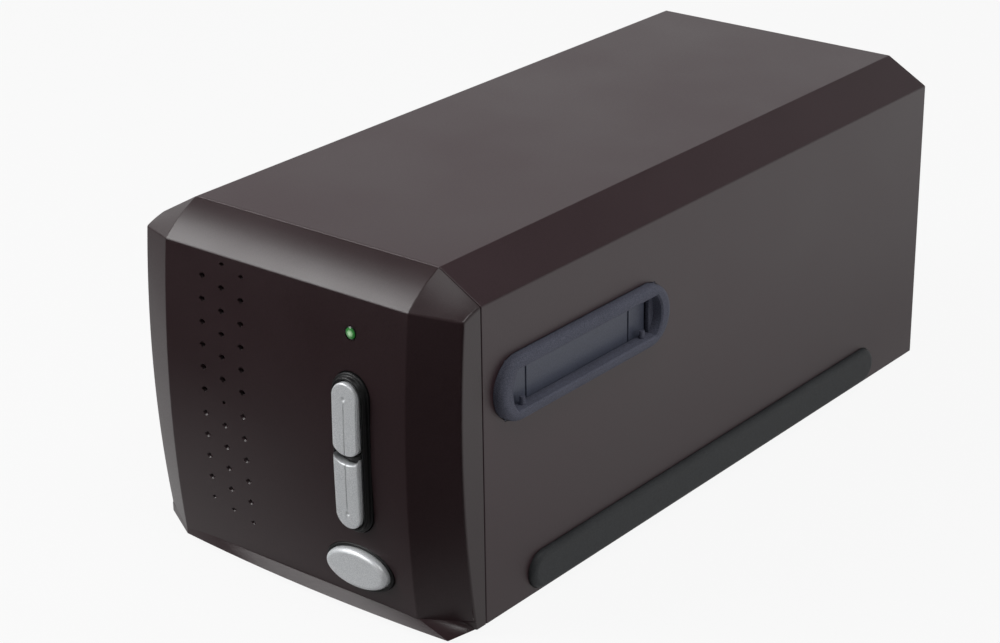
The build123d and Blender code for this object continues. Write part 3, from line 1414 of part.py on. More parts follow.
small = (board_screw_radius, board_screw_head, board_screw_head_tall)
with BuildPart() as board_screws:
    for x, y in chassis_bosses:
        pan_screw((x, seam_y + y, foot_height + deck), (0, 0, -1), *small, chassis_sheet + chassis_standoff)
    for x, y in main_screw_places:
        pan_screw((x, seam_y + y, foot_height + board_top), (0, 0, -1), *small, board_screw_length)
    for x, z in bezel_boss_places:
        pan_screw((x, seam_y + board_front + button_board_thick, foot_height + z), (0, -1, 0), *small,
                  board_screw_length)
write(board_screws, "board_screws")

with BuildPart() as carriage_screws:
    for sign in (-1, 1):
        pan_screw((sign * sensor_screw_x, seam_y + sensor_board_y, foot_height + sensor_screw_height),
                  (0, 1, 0), *small, board_screw_length)
write(carriage_screws, "carriage_screws")
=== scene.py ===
"""Looks of a desktop film scanner, dressed around its packed mechanical frame.

The frame: +X is the scanner's right, +Y its back, +Z up, in metres, with the origin on the desk.
Each sub-assembly below is a class that builds its own surfaces and dresses its own pieces.
"""
from __future__ import annotations

import json
import logging
import math
from dataclasses import dataclass, field
from enum import Enum
from typing import Iterable, Union

import bmesh
import bpy
import numpy as np
from mathutils import Matrix, Vector


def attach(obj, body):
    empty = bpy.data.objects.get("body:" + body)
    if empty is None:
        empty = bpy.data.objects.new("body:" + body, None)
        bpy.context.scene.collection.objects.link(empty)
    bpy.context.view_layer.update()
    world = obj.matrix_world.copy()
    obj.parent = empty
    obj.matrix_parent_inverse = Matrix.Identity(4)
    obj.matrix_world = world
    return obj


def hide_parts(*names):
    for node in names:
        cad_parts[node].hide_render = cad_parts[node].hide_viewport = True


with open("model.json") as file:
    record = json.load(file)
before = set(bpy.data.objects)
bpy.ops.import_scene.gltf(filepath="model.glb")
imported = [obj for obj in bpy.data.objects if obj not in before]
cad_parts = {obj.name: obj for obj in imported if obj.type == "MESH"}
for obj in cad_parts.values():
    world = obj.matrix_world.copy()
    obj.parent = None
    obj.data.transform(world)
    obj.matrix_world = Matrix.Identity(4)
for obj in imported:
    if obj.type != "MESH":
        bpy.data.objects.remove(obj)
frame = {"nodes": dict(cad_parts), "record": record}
LOG = logging.getLogger("film_scanner")
MM = 0.001
SAME_PLACE = 1e-6
Triple = tuple[float, float, float]
Number = Union[float, "Value"]


# ---------------------------------------------------------------- colours
def linear(red: float, green: float, blue: float) -> Triple:
    """Turn a screen colour, written 0 to 255, into the linear light that shaders take.

    Args:
        red, green, blue: the colour as a screen shows it.
    Returns:
        The three linear values.
    """
    shares = np.array([red, green, blue]) / 255.0
    low, high = shares / 12.92, ((shares + 0.055) / 1.055) ** 2.4
    return tuple(float(c) for c in np.where(shares <= 0.04045, low, high))


# ---------------------------------------------------------------- shader sums
class Value:
    """A number that changes over a surface, so that shader sums read as sums."""

    def __init__(self, bench: "Bench", socket: bpy.types.NodeSocket) -> None:
        """Wrap one output socket of a bench's node tree."""
        self.bench, self.socket = bench, socket

    def _sum(self, operation: str, first: Number, second: Number) -> "Value":
        """Add one Math node and return its result."""
        return self.bench.node("ShaderNodeMath", {"operation": operation}, {0: first, 1: second})

    def __add__(self, other: Number) -> "Value":
        """Sum."""
        return self._sum("ADD", self, other)

    __radd__ = __add__

    def __sub__(self, other: Number) -> "Value":
        """Difference."""
        return self._sum("SUBTRACT", self, other)

    def __rsub__(self, other: Number) -> "Value":
        """Difference from a plain number."""
        return self._sum("SUBTRACT", other, self)

    def __mul__(self, other: Number) -> "Value":
        """Product."""
        return self._sum("MULTIPLY", self, other)

    __rmul__ = __mul__

    def __pow__(self, other: Number) -> "Value":
        """Power."""
        return self._sum("POWER", self, other)

    def least(self, limit: Number) -> "Value":
        """The value, but never under the limit."""
        return self._sum("MAXIMUM", self, limit)

    def swing(self, amount: float) -> "Value":
        """How far the value is from one half, times an amount."""
        return (self - 0.5) * amount

    def ramp(self, low: float, high: float) -> "Value":
        """Rise smoothly from nought at low to one at high."""
        return self.bench.node("ShaderNodeMapRange", {"interpolation_type": "SMOOTHSTEP", "clamp": True},
                               {"Value": self, "From Min": low, "From Max": high})


class Bench:
    """One material's node tree while it is being wired."""

    def __init__(self, owner: Union[bpy.types.Material, bpy.types.World]) -> None:
        """Start with an empty tree in a material or in the world."""
        owner.use_nodes = True
        self.owner, self.tree = owner, owner.node_tree
        self.tree.nodes.clear()
        kind = "World" if isinstance(owner, bpy.types.World) else "Material"
        self.output = self.tree.nodes.new(f"ShaderNodeOutput{kind}")

    @classmethod
    def material(cls, name: str) -> "Bench":
        """Start a new material of that name."""
        return cls(bpy.data.materials.new(name))

    def node(self, kind: str, settings: dict, inputs: dict, output: Union[int, str] = 0) -> Value:
        """Add any node: its settings first, then the values or links of its sockets.

        Args:
            kind: the node's type.
            settings: the node's attributes.
            inputs: socket name or number, to a plain value or a wrapped one.
            output: which output is wanted.
        Returns:
            The wrapped output.
        """
        made = self.tree.nodes.new(kind)
        for name, value in settings.items():
            setattr(made, name, value)
        for name, value in inputs.items():
            socket = made.inputs[name]
            if isinstance(value, Value):
                self.tree.links.new(value.socket, socket)
            else:
                socket.default_value = value
        return Value(self, made.outputs[output])

    def place(self) -> Value:
        """The point on the piece, in metres."""
        return self.node("ShaderNodeTexCoord", {}, {}, "Object")

    def axes(self, vector: Value, *names: str) -> list[Value]:
        """The named components of a vector."""
        return [self.node("ShaderNodeSeparateXYZ", {}, {0: vector}, name) for name in names]

    def noise(self, size: float, detail: float = 2.0, stretch: Triple = (1.0, 1.0, 1.0),
              seed: float = 0.0) -> Value:
        """Cloudy pattern whose lumps are about as large as size.

        Args:
            size: lump size in metres.
            detail: finer octaves on top.
            stretch: how much longer the lumps are along each axis.
            seed: moves the pattern to another part of the cloud.
        Returns:
            A value about one half.
        """
        scale = tuple(1.0 / (size * s) for s in stretch)
        shift = (seed, seed * 1.7, seed * 2.3)
        spot = self.node("ShaderNodeMapping", {}, {"Vector": self.place(), "Scale": scale, "Location": shift})
        return self.node("ShaderNodeTexNoise", {}, {"Vector": spot, "Scale": 1.0, "Detail": detail})

    def tint(self, share: Number, first: Union[Triple, Value], second: Triple) -> Value:
        """Blend two linear colours by a share, of which the first may change over the surface."""
        start = first if isinstance(first, Value) else (*first, 1.0)
        return self.node("ShaderNodeMix", {"data_type": "RGBA"}, {0: share, 6: start, 7: (*second, 1.0)}, 2)

    def shade(self, share: Number, first: Triple, second: Triple) -> Value:
        """Blend two screen colours by a share."""
        return self.tint(share, linear(*first), linear(*second))

    def bump(self, height: Value, depth: float) -> Value:
        """Relief of that depth, in metres."""
        return self.node("ShaderNodeBump", {}, {"Height": height, "Distance": depth, "Strength": 1.0})

    def glow(self, grey: float) -> Value:
        """A shader that sends out plain grey light."""
        return self.node("ShaderNodeEmission", {}, {"Color": (grey, grey, grey, 1.0), "Strength": 1.0})

    def mix(self, share: Value, first: Value, second: Value) -> Value:
        """Blend two shaders by a share."""
        return self.node("ShaderNodeMixShader", {}, {0: share, 1: first, 2: second})

    def surface(self, inputs: dict) -> bpy.types.Material:
        """Close the material with one Principled shader."""
        return self.close(self.node("ShaderNodeBsdfPrincipled", {}, inputs))

    def close(self, shader: Value) -> bpy.types.Material:
        """Lead a shader to the surface."""
        self.tree.links.new(shader.socket, self.output.inputs["Surface"])
        return self.owner

    def seen(self, *kinds: str) -> Value:
        """One for the named kinds of ray, otherwise nought."""
        path = self.tree.nodes.new("ShaderNodeLightPath")
        rays = [Value(self, path.outputs[f"Is {kind} Ray"]) for kind in kinds]
        found = rays[0]
        for ray in rays[1:]:
            found = found.least(ray)
        return found


# ---------------------------------------------------------------- finishes
@dataclass(frozen=True)
class Moulding:
    """Plastic from a spark-eroded mould: fine grain, faint flow clouds, a satin sheen."""
    name: str
    dark: Triple
    light: Triple
    roughness: float = 0.45
    grain: float = 0.45 * MM
    relief: float = 0.02 * MM
    gloss: float = 0.4

    def make(self) -> bpy.types.Material:
        """Wire the material."""
        bench = Bench.material(self.name)
        fine = bench.noise(self.grain, 3.0)
        flow = bench.noise(45 * MM, 2.0, seed=3.1)
        speck = fine.swing(1.6) + flow.swing(0.7) + 0.5
        return bench.surface({
            "Base Color": bench.shade(speck.ramp(0.0, 1.0), self.dark, self.light),
            "Roughness": fine.swing(0.18) + flow.swing(0.12) + self.roughness,
            "Specular IOR Level": self.gloss,
            "Normal": bench.bump(fine, self.relief)})


@dataclass(frozen=True)
class SilverPaint:
    """Silver lacquer on plastic, with its metal flakes."""
    name: str = "silver_paint"
    dark: Triple = (206, 209, 212)
    light: Triple = (240, 242, 244)
    flake: float = 0.28 * MM
    relief: float = 0.008 * MM
    metallic: float = 0.30
    roughness: float = 0.36

    def make(self) -> bpy.types.Material:
        """Wire the material."""
        bench = Bench.material(self.name)
        flakes = bench.noise(self.flake, 2.0)
        flow = bench.noise(9 * MM, 1.0, seed=1.3)
        speck = flakes.swing(1.8) + 0.5
        return bench.surface({
            "Base Color": bench.shade(speck.ramp(0.0, 1.0), self.dark, self.light),
            "Metallic": self.metallic + flakes.swing(0.2),
            "Roughness": self.roughness + flakes.swing(0.2) + flow.swing(0.1),
            "Normal": bench.bump(flakes, self.relief)})


@dataclass(frozen=True)
class SoftRubber:
    """Matt rubber with a faint bloom."""
    name: str
    dark: Triple
    light: Triple
    roughness: float = 0.7
    relief: float = 0.03 * MM
    gloss: float = 0.35

    def make(self) -> bpy.types.Material:
        """Wire the material."""
        bench = Bench.material(self.name)
        fine = bench.noise(0.5 * MM, 3.0, seed=2.0)
        bloom = bench.noise(18 * MM, 3.0, seed=5.0)
        speck = fine.swing(1.0) + bloom.swing(1.0) + 0.5
        return bench.surface({
            "Base Color": bench.shade(speck.ramp(0.1, 0.9), self.dark, self.light),
            "Roughness": bloom.swing(0.2) + self.roughness,
            "Specular IOR Level": self.gloss,
            "Normal": bench.bump(fine, self.relief)})


@dataclass(frozen=True)
class Metal:
    """Machined, drawn or plated metal, brushed along one axis."""
    name: str
    dark: Triple
    light: Triple
    roughness: float = 0.3
    lay: Triple = (1.0, 30.0, 1.0)
    relief: float = 0.004 * MM

    def make(self) -> bpy.types.Material:
        """Wire the material."""
        bench = Bench.material(self.name)
        brushed = bench.noise(0.12 * MM, 2.0, self.lay)
        cloud = bench.noise(14 * MM, 3.0, seed=7.0)
        speck = brushed.swing(1.0) + cloud.swing(1.0) + 0.5
        return bench.surface({
            "Base Color": bench.shade(speck.ramp(0.1, 0.9), self.dark, self.light),
            "Metallic": 1.0,
            "Roughness": brushed.swing(0.2) + cloud.swing(0.15) + self.roughness,
            "Normal": bench.bump(brushed, self.relief)})


@dataclass(frozen=True)
class CircuitLacquer:
    """Green solder lacquer over copper tracks, with tinned pads."""
    name: str = "circuit_lacquer"
    cell: float = 4 * MM
    relief: float = 0.02 * MM

    def make(self) -> bpy.types.Material:
        """Wire the material."""
        bench = Bench.material(self.name)
        spot = bench.node("ShaderNodeMapping", {}, {"Vector": bench.place(), "Scale": (1 / self.cell,) * 3})
        tracks = bench.node("ShaderNodeTexVoronoi", {"feature": "DISTANCE_TO_EDGE"},
                            {"Vector": spot, "Scale": 1.0})
        pads = bench.node("ShaderNodeTexVoronoi", {}, {"Vector": spot, "Scale": 2.0})
        copper = 1.0 - tracks.ramp(0.03, 0.06)
        pad = 1.0 - pads.ramp(0.10, 0.14)
        green = bench.shade(copper, (18, 74, 44), (34, 104, 62))
        tinned = bench.tint(pad, green, linear(176, 176, 170))
        return bench.surface({"Base Color": tinned, "Roughness": 0.34 - pad * 0.1, "Metallic": pad,
                              "Normal": bench.bump(copper, self.relief)})


@dataclass(frozen=True)
class LampGlass:
    """Tinted lens with a pale heart and a dark rim, lit faintly from behind."""
    name: str = "green_lamp"
    middle: tuple[float, float] = (27.3 * MM, 92.8 * MM)
    heart: float = 1.1 * MM
    rim: float = 1.75 * MM
    strength: float = 0.55

    def make(self) -> bpy.types.Material:
        """Wire the material."""
        bench = Bench.material(self.name)
        across, up = bench.axes(bench.place(), "X", "Z")
        side, rise = across - self.middle[0], up - self.middle[1]
        radius = (side * side + rise * rise) ** 0.5
        outer = radius.ramp(0.2 * self.heart, 1.3 * self.heart)
        edge = radius.ramp(0.9 * self.rim, 1.1 * self.rim)
        green = bench.shade(outer, (176, 206, 172), (52, 122, 58))
        glow = bench.shade(outer, (120, 170, 118), (14, 70, 22))
        return bench.surface({
            "Base Color": bench.tint(edge, green, linear(12, 26, 14)),
            "Roughness": 0.12 + edge * 0.2,
            "Coat Weight": 0.6,
            "Emission Color": bench.tint(edge, glow, (0.0, 0.0, 0.0)),
            "Emission Strength": self.strength})


@dataclass(frozen=True)
class Clear:
    """Ground glass elements or front-silvered glass."""
    name: str
    colour: Triple
    roughness: float
    metallic: float = 0.0
    clear: float = 0.0

    def make(self) -> bpy.types.Material:
        """Wire the material."""
        bench = Bench.material(self.name)
        haze = bench.noise(6 * MM, 2.0)
        paler = tuple(min(255, part + 10) for part in self.colour)
        return bench.surface({
            "Base Color": bench.shade(haze, self.colour, paler),
            "Roughness": haze * 0.04 + self.roughness,
            "Metallic": self.metallic,
            "Transmission Weight": self.clear})


class Finish(Enum):
    """Every finish on the scanner, by the material slot that it dresses."""
    case_plastic = Moulding("plum_case", (50, 32, 36), (60, 41, 46), 0.38, gloss=0.5)
    # The bezel is the case's plastic written darker: painted shade for its front, which faces away from the
    # lamps.
    bezel_plastic = Moulding("plum_bezel_painted_shade", (42, 28, 30), (50, 35, 38), 0.34, gloss=0.5)
    frame_plastic = Moulding("blue_grey_frame", (76, 78, 90), (112, 114, 130), 0.62, 0.35 * MM, gloss=0.22)
    flap_plastic = Moulding("slate_flap", (84, 88, 104), (98, 103, 120), 0.38, 0.5 * MM, 0.01 * MM)
    black_plastic = Moulding("black_moulding", (13, 13, 14), (24, 24, 25), 0.42)
    white_nylon = Moulding("natural_nylon", (206, 206, 196), (226, 226, 218), 0.5)
    sensor_ceramic = Moulding("dark_ceramic", (70, 66, 64), (92, 88, 85), 0.6)
    diffuser_white = Moulding("opal_sheet", (224, 224, 220), (240, 240, 236), 0.5)
    silver_finish = SilverPaint()
    pad_rubber = SoftRubber("pad_rubber", (50, 52, 54), (66, 68, 70), 0.6)
    foot_rubber = SoftRubber("foot_rubber", (20, 20, 20), (34, 34, 34), 0.8)
    bright_steel = Metal("plated_steel", (150, 150, 152), (196, 196, 198), 0.26)
    zinc_sheet = Metal("zinc_sheet", (136, 139, 142), (176, 179, 182), 0.38, (1.0, 12.0, 1.0))
    cast_alloy = Metal("die_cast_alloy", (140, 142, 145), (172, 174, 176), 0.5, (1.0, 1.0, 1.0), 0.02 * MM)
    black_anodised = Metal("black_anodised", (24, 24, 26), (40, 40, 43), 0.4)
    bronze = Metal("sintered_bronze", (150, 112, 58), (186, 146, 84), 0.42, (1.0, 1.0, 1.0), 0.01 * MM)
    board_green = CircuitLacquer()
    green_lens = LampGlass()
    clear_glass = Clear("ground_glass", (228, 236, 234), 0.02, 0.0, 1.0)
    mirror_glass = Clear("silvered_glass", (232, 234, 236), 0.03, 1.0)


class Palette:
    """Makes each finish once and lays it on pieces."""

    def __init__(self) -> None:
        """Start with nothing made."""
        self.made: dict[Finish, bpy.types.Material] = {}

    def of(self, finish: Finish) -> bpy.types.Material:
        """The material of a finish."""
        if finish not in self.made:
            self.made[finish] = finish.value.make()
        return self.made[finish]

    def dress(self, piece: bpy.types.Object, finish: Finish) -> None:
        """Give a whole piece one finish."""
        piece.data.materials.clear()
        piece.data.materials.append(self.of(finish))

    def dress_frame(self, nodes: dict, subparts: Iterable[dict]) -> None:
        """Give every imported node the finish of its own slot.

        Args:
            nodes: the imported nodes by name.
            subparts: the record's pairs of node and slot.
        """
        for part in subparts:
            self.dress(nodes[part["node"]], Finish[part["material_slot"]])
            LOG.info("%s dressed in %s", part["node"], part["material_slot"])


# ---------------------------------------------------------------- surfaces
def sheet(rows: int, columns: int, closed: bool = False) -> np.ndarray:
    """Number the four corners of each face of a grid of points.

    Args:
        rows, columns: how many points the grid has each way.
        closed: whether the last column meets the first.
    Returns:
        One row of four point numbers for each face.
    """
    index = np.arange(rows * columns).reshape(rows, columns)
    near, far = (index, np.roll(index, -1, axis=1)) if closed else (index[:, :-1], index[:, 1:])
    return np.stack([near[:-1], far[:-1], far[1:], near[1:]], axis=-1).reshape(-1, 4)


def solid(name: str, points: np.ndarray, faces: np.ndarray) -> bpy.types.Object:
    """Make a closed, smooth piece from points in metres, its doubled points merged, its faces turned out.

    Args:
        name: the piece's name.
        points: one row of three for each point.
        faces: one row of four point numbers for each face.
    Returns:
        The new object, at the origin.
    """
    mesh = bpy.data.meshes.new(name)
    mesh.from_pydata(points.tolist(), [], faces.tolist())
    shape = bmesh.new()
    shape.from_mesh(mesh)
    bmesh.ops.remove_doubles(shape, verts=shape.verts, dist=SAME_PLACE)
    bmesh.ops.recalc_face_normals(shape, faces=shape.faces)
    shape.to_mesh(mesh)
    shape.free()
    mesh.shade_smooth()
    piece = bpy.data.objects.new(name, mesh)
    bpy.context.scene.collection.objects.link(piece)
    return piece


# ---------------------------------------------------------------- scan keys
@dataclass
class ScanKeys:
    """The two silver scan keys in one stepped black surround, parted by a bowed gap.

    The ends are heights above the desk, on the keys' middle line, and each bow is how much higher the gap
    runs at the keys' sides. The surround's profile is in millimetres: distance from the keys' middle line,
    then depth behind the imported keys' face.
    """
    half: float = 4.8 * MM
    lift: float = 1.3 * MM
    depth: float = 3.8 * MM
    upper_end: float = 55.5 * MM
    lower_end: float = 52.8 * MM
    upper_bow: float = 3.2 * MM
    lower_bow: float = 2.4 * MM
    gap_room: float = 0.25 * MM
    edge: float = 0.55 * MM
    groove_half: float = 0.16 * MM
    groove_sink: float = 0.20 * MM
    dimple: float = 0.8 * MM
    dimple_sink: float = 0.35 * MM
    dimple_inset: float = 5.0 * MM
    bridge_sink: float = 2.2 * MM
    groove_start: float = 1.2 * MM
    groove_rise: float = 0.3 * MM
    groove_spread: float = 3.0
    beside_groove: float = 3.0 * MM
    face_layer: float = 1.0 * MM
    rim_layer: float = 2.5 * MM
    rows: int = 121
    side_columns: int = 57
    groove_columns: int = 13
    turns: int = 96
    surround: tuple[tuple[float, float], ...] = (
        (7.05, 3.6), (7.05, 1.75), (6.95, 1.52), (6.7, 1.42), (6.35, 1.40), (6.15, 1.28), (6.06, 1.0),
        (6.03, 0.4), (5.93, 0.14), (5.7, 0.0), (5.4, 0.03), (5.18, 0.2), (5.1, 0.5), (5.1, 3.6))
    middle: float = field(init=False)
    top: float = field(init=False)
    foot: float = field(init=False)
    curve: np.ndarray = field(init=False)

    def build(self, nodes: dict, palette: Palette) -> None:
        """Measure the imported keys, then build the caps, the bridge in the gap and the surround.

        Args:
            nodes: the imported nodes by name.
            palette: the finishes.
        """
        self._measure(np.vstack([self._points(nodes[name]) for name in ("upper_button", "lower_button")]))
        across = self._columns()
        ring = np.sqrt(np.maximum(self.half ** 2 - across ** 2, 0.0))
        bow = ring / self.half
        upper_edge = self.upper_end + self.upper_bow * (1.0 - bow)
        lower_edge = self.lower_end + self.lower_bow * (1.0 - bow)
        self._finish(self._cap("upper_key", across, upper_edge, self.top + ring, -1.0), "upper_scan_button",
                     "upper_button", palette)
        self._finish(self._cap("lower_key", across, self.foot - ring, lower_edge, 1.0), "lower_scan_button",
                     "lower_button", palette)
        bridge = self._slab("key_bridge", across, lower_edge + self.gap_room, upper_edge - self.gap_room,
                            self.bridge_sink - self.lift)
        collar = self._surround()
        for piece in (bridge, collar):
            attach(piece, "case")
            palette.dress(piece, Finish.black_plastic)
        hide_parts("button_collar")
        LOG.info("scan keys, bridge and surround built")

    def _measure(self, both: np.ndarray) -> None:
        """Find the keys' middle line, the bow of their face and the centres of their round ends.

        The bow is a parabola through the foremost points beside the groove: depth against height.

        Args:
            both: the points of both packed keys.
        """
        side, depth, height = both.T
        self.middle = (side.min() + side.max()) / 2
        face = (np.abs(side - self.middle) > self.beside_groove) & (depth < depth.min() + self.face_layer)
        self.curve = np.polyfit(height[face], depth[face], 2)
        rim = height[depth < depth.min() + self.rim_layer]
        self.top, self.foot = rim.max() - self.half, rim.min() + self.half

    @staticmethod
    def _points(node: bpy.types.Object) -> np.ndarray:
        """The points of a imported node, in metres."""
        flat = np.empty(len(node.data.vertices) * 3)
        node.data.vertices.foreach_get("co", flat)
        return flat.reshape(-1, 3)

    def _columns(self) -> np.ndarray:
        """Places across a key, close together at its sides and at its groove."""
        spread = self.half * np.sin(np.linspace(-math.pi / 2, math.pi / 2, self.side_columns))
        close = np.linspace(-self.groove_spread, self.groove_spread, self.groove_columns) * self.groove_half
        return np.unique(np.concatenate([spread, close]))

    def _heights(self, low: np.ndarray, high: np.ndarray) -> np.ndarray:
        """Rows of heights from low to high, closer together at both ends."""
        share = (1.0 - np.cos(np.linspace(0.0, math.pi, self.rows))) / 2
        return low + share[:, None] * (high - low)

    def _front(self, height: np.ndarray) -> np.ndarray:
        """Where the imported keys' bowed face lies at each height, as its place along +Y."""
        return np.polyval(self.curve, height)

    def _slab(self, name: str, across: np.ndarray, low: np.ndarray, high: np.ndarray, sink: float,
              relief: Union[np.ndarray, float] = 0.0) -> bpy.types.Object:
        """Closed slab between two outlines, its front eased all round by a quarter circle.

        A point nearer to an outline than the edge e, by a distance r, lies e - sqrt(e^2 - (e - r)^2) deeper.

        Args:
            name: the piece's name.
            across: places across the slab.
            low, high: where it ends below and above at each of those places.
            sink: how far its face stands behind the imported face, or before it where negative.
            relief: how much deeper each point of the face is.
        Returns:
            The new object.
        """
        height = self._heights(low, high)
        places = np.broadcast_to(across, height.shape)
        slopes = [np.sqrt(1.0 + np.gradient(line, across) ** 2) for line in (low, high)]
        to_ends = np.minimum((height - low) / slopes[0], (high - height) / slopes[1])
        reach = np.minimum(self.half - np.abs(places), to_ends)
        short = self.edge - np.clip(reach, 0.0, self.edge)
        front = self._front(height) + sink + self.edge - np.sqrt(self.edge ** 2 - short ** 2) + relief
        back = np.full_like(front, self._front(self.top) + sink + self.depth)
        padded = [np.pad(part, 1, mode="edge") for part in (places, front, height)]
        padded[1][[0, -1], :] = back[0, 0]
        padded[1][:, [0, -1]] = back[0, 0]
        shell = np.stack(padded, axis=-1).reshape(-1, 3)
        rear = np.stack([places, back, height], axis=-1).reshape(-1, 3)
        points = np.vstack([shell, rear]) + (self.middle, 0.0, 0.0)
        faces = np.vstack([sheet(*padded[0].shape), sheet(*height.shape) + len(shell)])
        return solid(name, points, faces)

    def _cap(self, name: str, across: np.ndarray, low: np.ndarray, high: np.ndarray,
             inner: float) -> bpy.types.Object:
        """One silver cap, with its groove running from the gap to a dimple near the far end.

        The groove's section is a bell curve, sink * exp(-(x / half)^2), and the dimple is a paraboloid.

        Args:
            name: the piece's name.
            across, low, high: as for a slab.
            inner: which way the gap lies, 1 up or -1 down.
        Returns:
            The new object.
        """
        height = self._heights(low, high)
        spot = high.max() - self.dimple_inset if inner < 0 else low.min() + self.dimple_inset
        along = np.clip(((height - spot) * inner - self.groove_start) / self.groove_rise, 0.0, 1.0)
        groove = self.groove_sink * np.exp(-(across / self.groove_half) ** 2) * along
        bowl = np.clip(1.0 - (across ** 2 + (height - spot) ** 2) / self.dimple ** 2, 0.0, 1.0)
        return self._slab(name, across, low, high, -self.lift, groove + self.dimple_sink * bowl)

    def _surround(self) -> bpy.types.Object:
        """Stepped ring round the keys: its profile carried round a long oval, following the bowed face."""
        profile = np.array(self.surround) * MM
        profile = np.vstack([profile, profile[:1]])
        turn = np.linspace(0.0, 2 * math.pi, self.turns, endpoint=False)
        centre = np.where(turn < math.pi, self.top, self.foot)
        places = profile[:, :1] * np.cos(turn)
        height = centre + profile[:, :1] * np.sin(turn)
        front = self._front(height) + profile[:, 1:]
        points = np.stack([places + self.middle, front, height], axis=-1).reshape(-1, 3)
        return solid("key_surround", points, sheet(len(profile), len(turn), closed=True))

    def _finish(self, cap: bpy.types.Object, body: str, node: str, palette: Palette) -> None:
        """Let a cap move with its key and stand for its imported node."""
        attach(cap, body)
        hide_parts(node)
        palette.dress(cap, Finish.silver_finish)


# ---------------------------------------------------------------- studio
@dataclass(frozen=True)
class Viewpoint:
    """Where the photograph was taken from: angles in degrees, place in metres, lens in millimetres."""
    azimuth: float = 38.941
    elevation: float = 23.391
    roll: float = -0.819
    place: Triple = (0.46655, -0.60565, 0.37510)
    focal: float = 88.287
    sensor: float = 36.0

    def build(self) -> None:
        """Make the camera, its axes worked out from azimuth, elevation and roll."""
        turn, lift, tip = (math.radians(a) for a in (self.azimuth, self.elevation, self.roll))
        back = np.array([math.sin(turn) * math.cos(lift), -math.cos(turn) * math.cos(lift), math.sin(lift)])
        right = np.array([math.cos(turn), math.sin(turn), 0.0])
        up = np.cross(back, right)
        level_right = math.cos(tip) * right + math.sin(tip) * up
        level_up = math.cos(tip) * up - math.sin(tip) * right
        data = bpy.data.cameras.new("viewpoint")
        data.lens, data.sensor_width, data.sensor_fit = self.focal, self.sensor, "HORIZONTAL"
        data.clip_start, data.clip_end = 0.01, 20.0
        camera = bpy.data.objects.new("viewpoint", data)
        world = np.eye(4)
        world[:3, 0], world[:3, 1], world[:3, 2], world[:3, 3] = level_right, level_up, back, self.place
        camera.matrix_world = Matrix(world.tolist())
        bpy.context.scene.collection.objects.link(camera)
        bpy.context.scene.camera = camera


@dataclass(frozen=True)
class Softbox:
    """One soft lamp, aimed at the scanner."""
    name: str
    place: Triple
    width: float
    height: float
    power: float
    aim: Triple = (0.0, 0.0, 0.05)

    def build(self) -> None:
        """Make the lamp and turn it to its aim."""
        data = bpy.data.lights.new(self.name, "AREA")
        data.shape, data.size, data.size_y, data.energy = "RECTANGLE", self.width, self.height, self.power
        lamp = bpy.data.objects.new(self.name, data)
        way = np.array(self.aim) - np.array(self.place)
        lamp.matrix_world = Vector(way).to_track_quat("-Z", "Y").to_matrix().to_4x4()
        lamp.location = self.place
        bpy.context.scene.collection.objects.link(lamp)


@dataclass(frozen=True)
class Surround:
    """Brightness of the surroundings by direction: a low pale band behind and beside, dim elsewhere."""
    base: float = 0.10
    band: float = 0.85
    band_low: float = 0.36
    band_high: float = 0.60
    front_edge: float = -0.50
    back_edge: float = 0.05

    def build(self) -> None:
        """Wire the world: white to the lens, the pale band to everything else."""
        world = bpy.data.worlds.new("surroundings")
        bpy.context.scene.world = world
        bench = Bench(world)
        ahead, up = bench.axes(bench.node("ShaderNodeTexCoord", {}, {}, "Generated"), "Y", "Z")
        level = ahead.ramp(self.front_edge, self.back_edge) * (1.0 - up.ramp(self.band_low, self.band_high))
        soft = bench.node("ShaderNodeBackground", {}, {"Strength": level * self.band + self.base})
        white = bench.node("ShaderNodeBackground", {}, {"Strength": 1.0})
        bench.close(bench.mix(bench.seen("Camera"), soft, white))


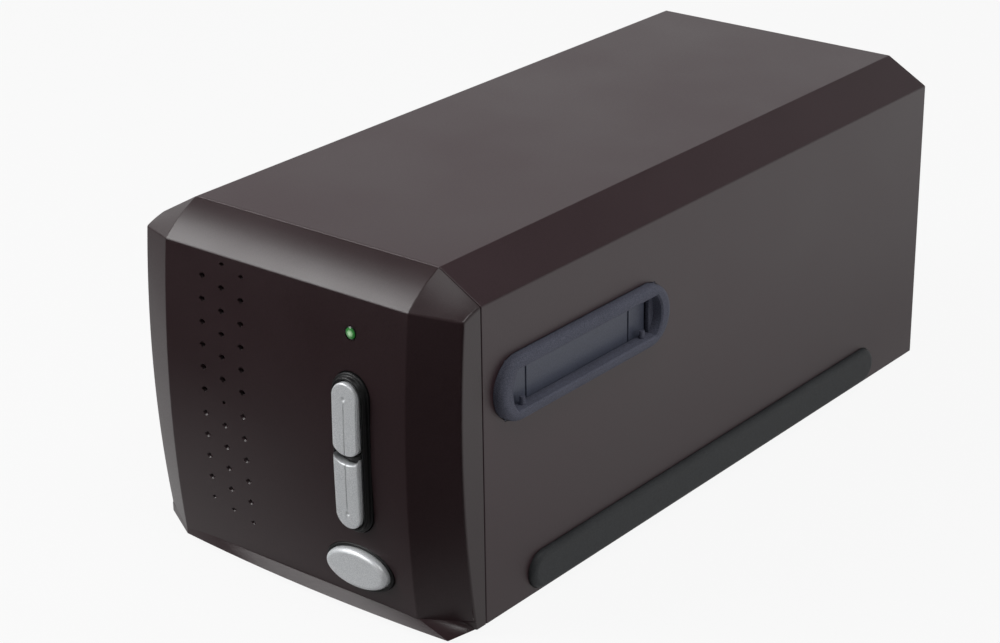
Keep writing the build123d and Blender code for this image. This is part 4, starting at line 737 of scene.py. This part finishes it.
@dataclass(frozen=True)
class Floor:
    """Broad pale floor: white to the lens but for a soft shadow, and fading to black in reflections.

    In reflections it fades with the distance in front of a line across it, faster on the right, and with
    the distance to the left of another line, and beside the scanner a painted shadow makes it dimmer than
    further right.
    """
    half: float = 3.0
    share: float = 0.92
    bounce: float = 0.45
    front: float = -0.10
    left: float = -0.06
    fade: float = 0.20
    sideways: float = 0.22
    right_share: float = 1.3
    right_low: float = -0.10
    right_high: float = 0.05
    # near is the painted shadow's level: how bright the floor stays in reflections beside the scanner, rising
    # to full between the next two places along +X.
    near: float = 0.62
    near_edge: float = 0.08
    far_edge: float = 0.20

    def build(self) -> None:
        """Make the floor and its material."""
        mesh = bpy.data.meshes.new("floor")
        corners = ((-1, -1), (1, -1), (1, 1), (-1, 1))
        mesh.from_pydata([(x * self.half, y * self.half, 0.0) for x, y in corners], [], [(0, 1, 2, 3)])
        floor = bpy.data.objects.new("floor", mesh)
        bpy.context.scene.collection.objects.link(floor)
        bench = Bench.material("pale_floor")
        matt = bench.node("ShaderNodeBsdfDiffuse", {}, {"Color": (self.bounce,) * 3 + (1.0,)})
        white, black = bench.glow(1.0), bench.glow(0.0)
        to_lens = bench.mix(bench.seen("Camera") * self.share, matt, white)
        along, ahead = bench.axes(bench.place(), "X", "Y")
        steeper = along.ramp(self.right_low, self.right_high) * self.right_share + 1.0
        before = (self.front - ahead).least(0.0) * steeper
        away = before + (self.left - along).least(0.0) * self.sideways
        # Painted shadow of the scanner on the floor, seen only in reflections: dimmer beside it, full further
        # right.
        near = along.ramp(self.near_edge, self.far_edge) * (1.0 - self.near) + self.near
        reflected_with_painted_shadow = bench.mix(near * (1.0 - away.ramp(0.0, self.fade)), black, white)
        glossy = bench.seen("Glossy", "Transmission")
        mesh.materials.append(bench.close(bench.mix(glossy, to_lens, reflected_with_painted_shadow)))


@dataclass
class Studio:
    """Pale floor, pale surroundings and soft lamps."""
    view: Viewpoint = field(default_factory=Viewpoint)
    surround: Surround = field(default_factory=Surround)
    floor: Floor = field(default_factory=Floor)
    lamps: tuple[Softbox, ...] = (
        Softbox("key", (-0.66, -0.66, 0.86), 0.9, 0.5, 9.5),
        Softbox("overhead", (0.5, -0.1, 1.3), 0.7, 0.5, 5.0),
        Softbox("front_left", (-0.9, -1.1, 0.50), 0.5, 0.5, 3.0))

    def build(self) -> None:
        """Make the floor, the surroundings, the lamps and the camera."""
        self.floor.build()
        self.surround.build()
        for lamp in self.lamps:
            lamp.build()
        self.view.build()
        bpy.context.scene.view_settings.view_transform = "Standard"


def main() -> None:
    """Build the scanner's looks in order, then the studio round it."""
    logging.basicConfig(level=logging.INFO, format="%(name)s: %(message)s")
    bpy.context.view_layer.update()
    palette = Palette()
    palette.dress_frame(frame["nodes"], frame["record"]["subparts"])
    ScanKeys().build(frame["nodes"], palette)
    Studio().build()


if __name__ == "__main__":
    main()
